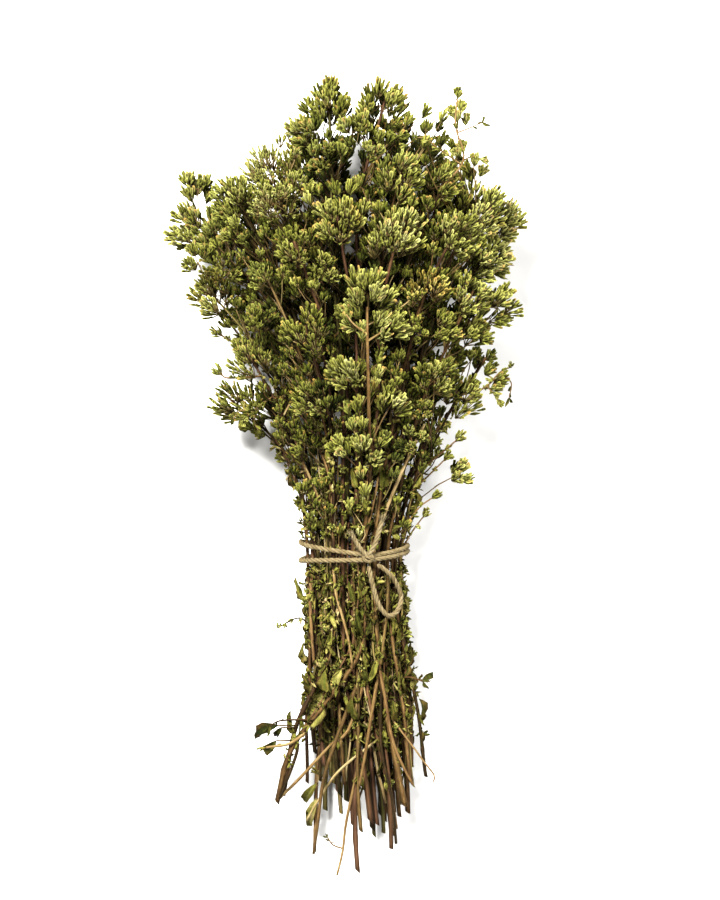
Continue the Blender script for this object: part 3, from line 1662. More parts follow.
STRAY_LOOK = StrayLook()
STRAYS = [
    Stray(((52.5, 186), (56.7, 205), (52.5, 222), (53.6, 238)), 0.6, 2.0, 0.45, Tip.FAN, 6.0, (
        Stray(((55, 205), (61, 206), (66.6, 204.4)), 0.42, 3.0, 0.4, Tip.FAN, 4.5),
        Stray(((54, 218), (60, 221), (66, 223.6)), 0.42, 1.0, 0.4, Tip.LEAVES, 4.5),
        Stray(((56, 202), (44, 210), (35, 216), (27, 212)), 0.45, 3.0, 0.4, Tip.BUDS, 4.5))),
    Stray(((18, 206), (23, 218), (27.5, 226)), 0.5, 2.0, 0.4, Tip.FAN, 6.5),
    Stray(((-14, 230), (-13.5, 238), (-13, 243)), 0.5, 3.0, 0.5, Tip.FAN, 7.0),
    Stray(((60, 82), (68, 87), (76, 95), (82, 98)), 0.5, 2.0, 0.4, Tip.BUDS, 4.5, (
        Stray(((76, 95), (82, 90), (81, 82)), 0.42, -3.0, 0.3, Tip.LEAVES, 4.5),
        Stray(((70, 88), (73, 84), (76, 80)), 0.42, -2.0, 0.4, Tip.FAN, 4.5))),
    Stray(((-40, 84), (-50, 77), (-58, 70)), 0.5, 2.0, 0.4, Tip.BUDS, 4.5, (
        Stray(((-48, 77), (-52, 70), (-50, 65)), 0.42, -2.0, 0.5, Tip.LEAVES, 5.0),
        Stray(((-52, 75), (-59, 75), (-63, 71)), 0.42, 0.0, 0.5, Tip.LEAVES, 5.0))),
    Stray(((-55, 106), (-65, 112), (-70, 115)), 0.6, 3.0, 0.4, Tip.FAN, 8.0),
    Stray(((-56, 88), (-65, 92), (-69, 94)), 0.6, 3.0, 0.4, Tip.FAN, 8.0),
    Stray(((38, 44), (47, 54), (54, 60)), 0.55, 4.0, 0.4, Tip.FAN, 7.5),
    Stray(((34, 30), (42, 44), (48, 50)), 0.5, 3.0, 0.4, Tip.FAN, 6.5),
    Stray(((26, 2), (31, 12), (37, 20)), 0.5, 3.0, 0.4, Tip.FAN, 6.0),
    Stray(((26, 12), (34, 24), (42, 30)), 0.5, 3.0, 0.4, Tip.FAN, 6.5),
    Stray(((-20, -40), (-28, -34), (-35, -36), (-40, -39)), 0.5, 3.0, 0.1, Tip.BUDS, 3.5),
    Stray(((-24, -86), (-38, -87), (-44, -90)), 0.6, 2.0, 0.2, Tip.LEAVES, 6.0),
    Stray(((-22, -96), (-34, -99), (-46, -101)), 1.0, 4.0, 0.6, Tip.LEAVES, 5.0),
    Stray(((-24, -104), (-31, -107), (-39, -128)), 1.0, 3.0, 0.0),
    Stray(((22, -66), (30, -65), (36, -67)), 0.6, 4.0, 0.2, Tip.LEAVES, 5.5),
    Stray(((16, -84), (30.7, -100.9), (36.4, -108.7), (42, -116), (41.5, -119.5)), 0.6, 5.0, 0.5),
    Stray(((12, -52), (17, -80), (20, -97), (26, -112), (31, -121)), 1.0, 5.0, 0.45),
    Stray(((8.8, -62), (-2.6, -91.5), (-12, -100), (-29, -118), (-41, -130)), 1.1, 6.0, 0.55),
    Stray(((-1, -70), (-9, -96), (-16, -118), (-19, -140), (-21.3, -157)), 1.2, 6.0, 0.35),
    Stray(((12, -66), (14, -100), (20, -130), (22, -152)), 1.0, 5.0, 0.0),
    Stray(((10, -96), (-8, -114), (-18, -128), (-25, -140)), 0.9, 6.0, 0.6),
    Stray(((14.6, -60), (8.8, -85.8), (5.7, -105.6), (2.6, -122)), 1.1, 5.0, 0.3),
    Stray(((-2, -110), (-4, -140), (-6, -156), (-9, -169)), 0.9, -2.0, 0.5, twigs=(
        Stray(((-6, -154), (-11, -153), (-14, -149)), 0.5, 1.0, 0.5, Tip.LEAVES, 3.5),)),
    Stray(((-12, 8), (-9, 27), (-2, 24), (5.7, 12), (3.5, 6)), 0.35, 5.0, 0.7),
    Stray(((12, 118), (24, 128), (31, 134)), 0.5, 6.0, 0.6, Tip.FAN, 7.0),
    Stray(((-18, 14), (-19, 26), (-20, 32)), 0.5, 3.0, 0.6, Tip.BUDS, 6.0),
    Stray(((-32, 72), (-26, 92), (-16, 106), (-8, 116)), 0.6, 9.0, 0.6),
    Stray(((11, 9), (20, 31), (29, 52), (37, 68)), 1.1, 7.0, 0.6),
    Stray(((9, 8), (12.5, 39), (14, 62)), 0.8, 6.0, 0.45),
    Stray(((-15, 8), (-18.7, 29), (-28, 50), (-37, 62)), 1.0, 7.0, 0.58),
    Stray(((-10, 8), (-13, 40), (-22, 64), (-30, 76)), 0.8, 6.0, 0.4),
    Stray(((-10.4, -9), (-9.4, -21), (-3.6, -42), (-1, -58)), 0.95, 5.5, 0.6),
    Stray(((-17.7, -9), (-18, -24), (-16.6, -42), (-15, -66)), 1.05, 5.0, 0.5),
    Stray(((18.2, -9), (17.6, -22), (17.2, -30), (14, -58)), 0.95, 5.0, 0.36),
    Stray(((-22, -9), (-23, -24), (-22.4, -40), (-20, -70)), 1.1, 4.0, 0.4),
    Stray(((7, 60), (7.5, 88), (6.9, 112), (6.8, 128)), 1.05, 26.0, 0.34, twigs=(
        Stray(((6.9, 115), (0, 119), (-4, 124)), 0.65, 2.0, 0.6),
        Stray(((6.9, 111), (14, 115), (19, 120)), 0.65, 2.0, 0.6))),
]


@dataclass(frozen=True)
class BigLeaf:
    """One of the larger leaves: where it starts and ends across and along, and its look."""

    start: Span
    end: Span
    width: float
    tone: float
    fold: float = 0.9
    curl: float = 0.8


BIG_LEAVES = [
    BigLeaf((-17.5, -73.0), (-22.0, -93.0), 10.5, 0.74, 0.3, 0.2),
    BigLeaf((-6.5, -60.0), (-14.0, -77.0), 7.0, 0.8),
    BigLeaf((5.0, -58.0), (1.5, -70.0), 5.0, 0.75),
    BigLeaf((-12.0, -40.0), (-15.5, -56.0), 6.0, 0.55, 1.3),
    BigLeaf((16.0, -92.0), (15.0, -110.0), 6.5, 0.6, 0.8),
    BigLeaf((-40.0, -90.0), (-57.0, -94.5), 8.0, 0.08, 1.0, 1.2),
    BigLeaf((-38.0, -91.0), (-43.0, -98.0), 5.5, 0.05, 1.1, 1.6),
    BigLeaf((-41.0, -98.0), (-49.5, -106.5), 7.0, 0.12, 0.9, 1.4),
    BigLeaf((-20.0, -122.0), (-31.0, -136.0), 6.5, 0.6, 1.0, 1.5),
    BigLeaf((-20.0, -130.0), (-27.0, -150.0), 7.0, 0.7, 0.9, 1.3),
    BigLeaf((36.0, -66.5), (43.5, -62.0), 4.5, 0.2, 0.9, 1.2),
    BigLeaf((-60.0, 71.0), (-57.0, 62.0), 5.0, 0.6, 0.8, 1.2),
    BigLeaf((-50.0, 70.0), (-51.5, 61.0), 4.5, 0.55, 0.8, 1.2),
]

# Places across and along where the front of the crown stays open
HOLLOWS = np.array([
    (-5.0, 153.0), (-13.0, 96.0), (0.0, 107.0), (-7.0, 158.0), (39.0, 109.0), (-30.0, 128.0)])
HOLLOW_REACH = 10.5


# Shader groups and finishes

# Where a colour Mix node has its factor, its two colours and its result
MIX_INPUTS = (0, 6, 7)
MIX_RESULT = 2


class Nodes:
    """Short ways to add and join shader nodes in one tree."""

    def __init__(self, tree: bpy.types.NodeTree) -> None:
        """Keep the tree."""
        self.tree = tree

    def add(self, kind: str, **values: object) -> bpy.types.Node:
        """Add a node and set its own values.

        Args:
            kind: The node's type.
            values: Its own values by name.

        Returns:
            The node.
        """
        node = self.tree.nodes.new(kind)
        for name, value in values.items():
            setattr(node, name, value)
        return node

    def feed(self, socket: bpy.types.NodeSocket, value: object) -> None:
        """Join a socket to another, or set its value.

        Args:
            socket: The socket that is fed.
            value: Another socket, or a value.
        """
        if isinstance(value, bpy.types.NodeSocket):
            self.tree.links.new(value, socket)
        else:
            socket.default_value = value

    def math(self, operation: str, *values: object, clamp: bool = False) -> bpy.types.NodeSocket:
        """Add a Math node and give its result.

        Args:
            operation: What it does.
            values: Its sockets or numbers.
            clamp: Whether it is kept from 0 to 1.

        Returns:
            The result.
        """
        node = self.add("ShaderNodeMath", operation=operation, use_clamp=clamp)
        for socket, value in zip(node.inputs, values):
            self.feed(socket, value)
        return node.outputs[0]

    def spread(
        self, value: object, low: float, high: float, new_low: float, new_high: float
    ) -> bpy.types.NodeSocket:
        """Add a Map Range node, clamped, and give its result.

        Args:
            value: What is mapped.
            low: The range that it comes from starts here.
            high: And ends here.
            new_low: The new range starts here.
            new_high: And ends here.

        Returns:
            The result.
        """
        node = self.add("ShaderNodeMapRange", clamp=True)
        for socket, given in zip(node.inputs, (value, low, high, new_low, new_high)):
            self.feed(socket, given)
        return node.outputs[0]

    def mix(self, blend: str, share: object, first: object, second: object) -> bpy.types.NodeSocket:
        """Add a colour Mix node and give its result.

        Args:
            blend: How the colours blend.
            share: The second colour's share.
            first: The first colour.
            second: The second colour.

        Returns:
            The colour.
        """
        node = self.add("ShaderNodeMix", data_type="RGBA", blend_type=blend)
        for spot, value in zip(MIX_INPUTS, (share, first, second)):
            self.feed(node.inputs[spot], value)
        return node.outputs[MIX_RESULT]

    def shade(self, colour: object, value: object) -> bpy.types.NodeSocket:
        """Multiply a colour by a value.

        Args:
            colour: The colour.
            value: The value.

        Returns:
            The colour.
        """
        grey = self.add("ShaderNodeCombineColor")
        for socket in grey.inputs:
            self.feed(socket, value)
        return self.mix("MULTIPLY", 1.0, colour, grey.outputs[0])

    def ramp(self, value: object, stops: Stops) -> bpy.types.NodeSocket:
        """Add a Color Ramp of place and colour stops and give its colour.

        Args:
            value: Where the ramp is read.
            stops: Its places and colours.

        Returns:
            The colour.
        """
        node = self.add("ShaderNodeValToRGB")
        elements = node.color_ramp.elements
        while len(elements) < len(stops):
            elements.new(0.5)
        for element, (place, colour) in zip(elements, stops):
            element.position = place
            element.color = (*colour, 1.0)
        self.feed(node.inputs[0], value)
        return node.outputs[0]

    def vary(self, tone: object, *parts: tuple[object, float]) -> bpy.types.NodeSocket:
        """Raise and lower a tone by values from 0 to 1.

        Args:
            tone: The tone.
            parts: Each value, and how far it moves the tone in all.

        Returns:
            The varied tone.
        """
        for value, reach in parts:
            tone = self.math("ADD", tone, self.math("MULTIPLY_ADD", value, reach, reach * -0.5))
        return tone

    def streaks(self, painted: dict, gains: Span, scale: float, detail: float) -> bpy.types.NodeSocket:
        """Add a noise that is drawn out along a stem or strand.

        Args:
            painted: The painted values.
            gains: How finely it changes along and across.
            scale: Its scale.
            detail: Its detail.

        Returns:
            The noise.
        """
        noise = self.add("ShaderNodeTexNoise", noise_dimensions="2D")
        line = self.add("ShaderNodeCombineXYZ")
        self.feed(line.inputs[0], self.math("MULTIPLY", painted["Along"], gains[0]))
        self.feed(line.inputs[1], self.math("MULTIPLY", painted["Out"], gains[1]))
        self.feed(noise.inputs["Vector"], line.outputs[0])
        noise.inputs["Scale"].default_value = scale
        noise.inputs["Detail"].default_value = detail
        return noise.outputs[0]


def group_sockets(tree: bpy.types.NodeTree, inputs: dict[str, float], outputs: Sequence[str]) -> None:
    """Give a shader group its named number inputs and outputs.

    Args:
        tree: The group.
        inputs: Each input's name and usual value.
        outputs: The outputs' names.
    """
    for name, value in inputs.items():
        socket = tree.interface.new_socket(name, in_out="INPUT", socket_type="NodeSocketFloat")
        socket.default_value = value
    for name in outputs:
        tree.interface.new_socket(name, in_out="OUTPUT", socket_type="NodeSocketFloat")


@dataclass(frozen=True)
class ShaderGroup:
    """A shader group that is built once and then found by its name."""

    name: str

    def tree(self) -> bpy.types.NodeTree:
        """Give the group's node tree."""
        return bpy.data.node_groups.get(self.name) or self.build()


@dataclass(frozen=True)
class DryMottle(ShaderGroup):
    """Shader group: the uneven patches and the fine grain of dried leaf, bark and fibre."""

    name: str = "Dry_mottle"

    def build(self) -> bpy.types.NodeTree:
        """Build the group.

        Returns:
            The group's node tree.
        """
        tree = bpy.data.node_groups.new(self.name, "ShaderNodeTree")
        inputs = {"Patch scale": 180.0, "Grain scale": 1400.0, "Seed": 0.0}
        group_sockets(tree, inputs, ("Patches", "Grain", "Height"))
        nodes = Nodes(tree)
        given = nodes.add("NodeGroupInput").outputs
        place = nodes.add("ShaderNodeTexCoord").outputs["Object"]
        patches = nodes.add("ShaderNodeTexNoise", noise_dimensions="4D")
        nodes.feed(patches.inputs["Vector"], place)
        nodes.feed(patches.inputs["Scale"], given["Patch scale"])
        nodes.feed(patches.inputs["W"], given["Seed"])
        patches.inputs["Detail"].default_value = 3.0
        grain = nodes.add("ShaderNodeTexNoise", noise_dimensions="3D")
        nodes.feed(grain.inputs["Vector"], place)
        nodes.feed(grain.inputs["Scale"], given["Grain scale"])
        grain.inputs["Detail"].default_value = 4.0
        grain.inputs["Roughness"].default_value = 0.65
        end = nodes.add("NodeGroupOutput").inputs
        nodes.feed(end["Patches"], nodes.spread(patches.outputs[0], 0.3, 0.7, 0.0, 1.0))
        nodes.feed(end["Grain"], nodes.spread(grain.outputs[0], 0.3, 0.7, 0.0, 1.0))
        height = nodes.math("MULTIPLY_ADD", grain.outputs[0], 0.6, patches.outputs[0])
        nodes.feed(end["Height"], height)
        return tree


@dataclass(frozen=True)
class Painted(ShaderGroup):
    """Shader group: the four painting values that each point of a plant piece carries."""

    name: str = "Painted_values"
    attribute: str = "paint"

    def build(self) -> bpy.types.NodeTree:
        """Build the group.

        Returns:
            The group's node tree.
        """
        tree = bpy.data.node_groups.new(self.name, "ShaderNodeTree")
        group_sockets(tree, {"Tone shift": 0.0}, ("Along", "Out", "Own", "Tone"))
        nodes = Nodes(tree)
        given = nodes.add("NodeGroupInput").outputs
        paint = nodes.add("ShaderNodeAttribute", attribute_name=self.attribute)
        parts = nodes.add("ShaderNodeSeparateColor")
        nodes.feed(parts.inputs[0], paint.outputs["Color"])
        end = nodes.add("NodeGroupOutput").inputs
        for name, socket in zip(("Along", "Out", "Own"), parts.outputs):
            nodes.feed(end[name], socket)
        tone = nodes.math("ADD", paint.outputs["Alpha"], given["Tone shift"])
        nodes.feed(end["Tone"], tone)
        return tree


@dataclass(frozen=True)
class DryFinish:
    """What every dry finish of the bundle shares."""

    name: str
    patch_scale: float = 180.0
    grain_scale: float = 1400.0
    roughness: Span = (0.62, 0.9)
    bump: float = 0.35
    bump_depth: float = 0.0003
    specular: float = 0.05

    def colour(self, nodes: Nodes, painted: dict, mottle: dict) -> bpy.types.NodeSocket:
        """Build the finish's colour: each finish has its own way."""
        raise NotImplementedError(self.name)

    def make(self) -> bpy.types.Material:
        """Build the material.

        Returns:
            The material.
        """
        material = bpy.data.materials.new(self.name)
        material.use_nodes = True
        nodes = Nodes(material.node_tree)
        shader = material.node_tree.nodes["Principled BSDF"]
        shader.inputs["Specular IOR Level"].default_value = self.specular
        painted = nodes.add("ShaderNodeGroup", node_tree=Painted().tree())
        mottle = nodes.add("ShaderNodeGroup", node_tree=DryMottle().tree())
        mottle.inputs["Patch scale"].default_value = self.patch_scale
        mottle.inputs["Grain scale"].default_value = self.grain_scale
        nodes.feed(mottle.inputs["Seed"], painted.outputs["Own"])
        rough = nodes.spread(mottle.outputs["Grain"], 0.0, 1.0, *self.roughness)
        nodes.feed(shader.inputs["Roughness"], rough)
        bump = nodes.add("ShaderNodeBump")
        bump.inputs["Strength"].default_value = self.bump
        bump.inputs["Distance"].default_value = self.bump_depth
        nodes.feed(bump.inputs["Height"], mottle.outputs["Height"])
        nodes.feed(shader.inputs["Normal"], bump.outputs[0])
        colour = self.colour(nodes, painted.outputs, mottle.outputs)
        nodes.feed(shader.inputs["Base Color"], colour)
        return material


@dataclass(frozen=True)
class FloretFinish(DryFinish):
    """Dried spikelets: olive to pale yellow, paler bract edges, some tips browned."""

    name: str = "Oregano_spikelets"
    tones: Stops = (
        (0.0, (0.014, 0.018, 0.003)),
        (0.25, (0.062, 0.067, 0.010)),
        (0.5, (0.162, 0.162, 0.034)),
        (0.72, (0.256, 0.254, 0.080)),
        (0.88, (0.325, 0.312, 0.135)),
        (1.0, (0.390, 0.338, 0.205)),
    )
    greyed: Stops = (
        (0.0, (0.016, 0.022, 0.005)),
        (0.3, (0.078, 0.088, 0.020)),
        (0.6, (0.185, 0.194, 0.052)),
        (0.85, (0.280, 0.296, 0.118)),
        (1.0, (0.385, 0.370, 0.180)),
    )
    rusted: Stops = (
        (0.0, (0.030, 0.022, 0.006)),
        (0.4, (0.125, 0.086, 0.018)),
        (0.75, (0.300, 0.200, 0.046)),
        (1.0, (0.440, 0.310, 0.110)),
    )
    browned: Colour = (0.25, 0.128, 0.040)
    patch_gain: float = 0.22
    own_gain: float = 0.26
    along_gain: float = 0.16
    region_scale: float = 26.0
    region_seed: float = 4.0
    region_own: float = 0.2
    grey_regions: Spread = (0.6, 1.05, 0.0, 0.8)
    rust_regions: Spread = (0.1, 0.32, 0.75, 0.0)
    brown_tips: Spread = (0.6, 0.98, 0.0, 0.7)
    brown_ones: Spread = (0.78, 0.94, 0.0, 1.0)
    crests: Spread = (0.0, 1.0, 0.16, 1.12)
    grains: Spread = (0.0, 1.0, 0.82, 1.15)
    feet: Spread = (0.05, 0.55, 0.35, 1.0)

    def colour(self, nodes: Nodes, painted: dict, mottle: dict) -> bpy.types.NodeSocket:
        """Spikelets: three ramps by region, browned tips, pale crests and dark feet.

        Args:
            nodes: The material's nodes.
            painted: Its painted values.
            mottle: Its patches and its grain.

        Returns:
            The colour.
        """
        tone = nodes.vary(
            painted["Tone"], (mottle["Patches"], self.patch_gain), (painted["Own"], self.own_gain),
            (painted["Along"], self.along_gain))
        region = nodes.add("ShaderNodeGroup", node_tree=DryMottle().tree())
        region.inputs["Patch scale"].default_value = self.region_scale
        region.inputs["Seed"].default_value = self.region_seed
        regions = nodes.math("MULTIPLY_ADD", painted["Own"], self.region_own, region.outputs["Patches"])
        greyed = nodes.spread(regions, *self.grey_regions)
        colour = nodes.mix("MIX", greyed, nodes.ramp(tone, self.tones), nodes.ramp(tone, self.greyed))
        rusted = nodes.spread(regions, *self.rust_regions)
        colour = nodes.mix("MIX", rusted, colour, nodes.ramp(tone, self.rusted))
        tip = nodes.spread(painted["Along"], *self.brown_tips)
        chosen = nodes.spread(painted["Own"], *self.brown_ones)
        colour = nodes.mix("MIX", nodes.math("MULTIPLY", tip, chosen), colour, (*self.browned, 1.0))
        crest = nodes.spread(painted["Out"], *self.crests)
        grain = nodes.spread(mottle["Grain"], *self.grains)
        low = nodes.spread(painted["Along"], *self.feet)
        return nodes.shade(colour, nodes.math("MULTIPLY", nodes.math("MULTIPLY", crest, grain), low))


@dataclass(frozen=True)
class StemFinish(DryFinish):
    """Dried stems: tan to red-brown bark with long pale ribs."""

    name: str = "Oregano_stems"
    patch_scale: float = 90.0
    grain_scale: float = 900.0
    roughness: Span = (0.55, 0.85)
    tones: Stops = (
        (0.0, (0.012, 0.008, 0.003)),
        (0.25, (0.050, 0.028, 0.011)),
        (0.45, (0.105, 0.066, 0.025)),
        (0.65, (0.165, 0.122, 0.056)),
        (0.85, (0.232, 0.190, 0.108)),
        (1.0, (0.300, 0.260, 0.172)),
    )
    cut: Colour = (0.42, 0.33, 0.20)
    reddened: Colour = (0.112, 0.058, 0.034)
    greened: Colour = (0.150, 0.140, 0.045)
    streak_finesse: Span = (1.2, 7.0)
    streak_gain: float = 0.5
    patch_gain: float = 0.24
    red_ones: Spread = (0.62, 1.0, 0.0, 0.65)
    green_ones: Spread = (0.0, 0.4, 0.6, 0.0)
    cut_ends: Spread = (CUT_MARK + 0.1, CUT_MARK + 1.0, 1.0, 0.0)
    rib_edges: Spread = (0.8, 1.0, 0.7, 1.12)

    def colour(self, nodes: Nodes, painted: dict, mottle: dict) -> bpy.types.NodeSocket:
        """Stems: streaked bark, some redder or greener, pale cut ends and ribs.

        Args:
            nodes: The material's nodes.
            painted: Its painted values.
            mottle: Its patches and its grain.

        Returns:
            The colour.
        """
        streaks = nodes.streaks(painted, self.streak_finesse, 2.2, 2.0)
        parts = ((streaks, self.streak_gain), (mottle["Patches"], self.patch_gain))
        tone = nodes.vary(painted["Tone"], *parts)
        colour = nodes.ramp(tone, self.tones)
        reddish = nodes.spread(painted["Own"], *self.red_ones)
        colour = nodes.mix("MIX", reddish, colour, (*self.reddened, 1.0))
        greenish = nodes.spread(painted["Own"], *self.green_ones)
        colour = nodes.mix("MIX", greenish, colour, (*self.greened, 1.0))
        fresh = nodes.spread(painted["Along"], *self.cut_ends)
        colour = nodes.mix("MIX", fresh, colour, (*self.cut, 1.0))
        rib = nodes.spread(painted["Out"], *self.rib_edges)
        return nodes.shade(colour, rib)


@dataclass(frozen=True)
class LeafFinish(DryFinish):
    """Dried leaves: crumpled olive green with a paler midrib and browned edges."""

    name: str = "Oregano_leaves"
    patch_scale: float = 320.0
    grain_scale: float = 1700.0
    bump: float = 0.9
    bump_depth: float = 0.0005
    tones: Stops = (
        (0.0, (0.012, 0.015, 0.003)),
        (0.3, (0.046, 0.050, 0.010)),
        (0.6, (0.115, 0.115, 0.022)),
        (0.85, (0.205, 0.186, 0.062)),
        (1.0, (0.280, 0.220, 0.110)),
    )
    browned: Colour = (0.130, 0.062, 0.022)
    patch_gain: float = 0.3
    own_gain: float = 0.3
    midrib: Spread = (0.0, 0.2, 0.16, 0.0)
    edges: Spread = (0.4, 1.0, 0.0, 1.0)
    grains: Spread = (0.0, 1.0, 0.6, 1.25)

    def colour(self, nodes: Nodes, painted: dict, mottle: dict) -> bpy.types.NodeSocket:
        """Leaves: mottled, with a pale midrib and browned edges.

        Args:
            nodes: The material's nodes.
            painted: Its painted values.
            mottle: Its patches and its grain.

        Returns:
            The colour.
        """
        parts = ((mottle["Patches"], self.patch_gain), (painted["Own"], self.own_gain))
        tone = nodes.vary(painted["Tone"], *parts)
        midrib = nodes.spread(painted["Out"], *self.midrib)
        colour = nodes.ramp(nodes.math("ADD", tone, midrib), self.tones)
        edge = nodes.spread(painted["Out"], *self.edges)
        dead = nodes.math("MULTIPLY", edge, mottle["Patches"])
        colour = nodes.mix("MIX", nodes.math("MULTIPLY", dead, 0.6), colour, (*self.browned, 1.0))
        grain = nodes.spread(mottle["Grain"], *self.grains)
        return nodes.shade(colour, grain)


@dataclass(frozen=True)
class TwineFinish(DryFinish):
    """Hemp twine: tan fibres that run along each strand."""

    name: str = "Hemp_twine"
    patch_scale: float = 160.0
    grain_scale: float = 2200.0
    roughness: Span = (0.8, 0.97)
    bump: float = 0.7
    tones: Stops = (
        (0.0, (0.040, 0.028, 0.012)),
        (0.4, (0.102, 0.078, 0.039)),
        (0.75, (0.158, 0.129, 0.075)),
        (1.0, (0.224, 0.192, 0.128)),
    )
    fibre_finesse: Span = (3.0, 22.0)
    fibre_gain: float = 0.9
    patch_gain: float = 0.24

    def colour(self, nodes: Nodes, painted: dict, mottle: dict) -> bpy.types.NodeSocket:
        """Twine: fibres along each strand.

        Args:
            nodes: The material's nodes.
            painted: Its painted values.
            mottle: Its patches and its grain.

        Returns:
            The colour.
        """
        fibres = nodes.streaks(painted, self.fibre_finesse, 2.0, 3.0)
        parts = ((fibres, self.fibre_gain), (mottle["Patches"], self.patch_gain))
        tone = nodes.vary(painted["Tone"], *parts)
        return nodes.ramp(tone, self.tones)


@dataclass(frozen=True)
class FloorFinish:
    """A plain pale floor."""

    name: str = "Pale_floor"
    colour: Colour = (0.56, 0.56, 0.56)
    roughness: float = 0.85

    def make(self) -> bpy.types.Material:
        """Build the material.

        Returns:
            The material.
        """
        material = bpy.data.materials.new(self.name)
        material.use_nodes = True
        shader = material.node_tree.nodes["Principled BSDF"]
        shader.inputs["Base Color"].default_value = (*self.colour, 1.0)
        shader.inputs["Roughness"].default_value = self.roughness
        shader.inputs["Specular IOR Level"].default_value = 0.1
        return material


# The sprays


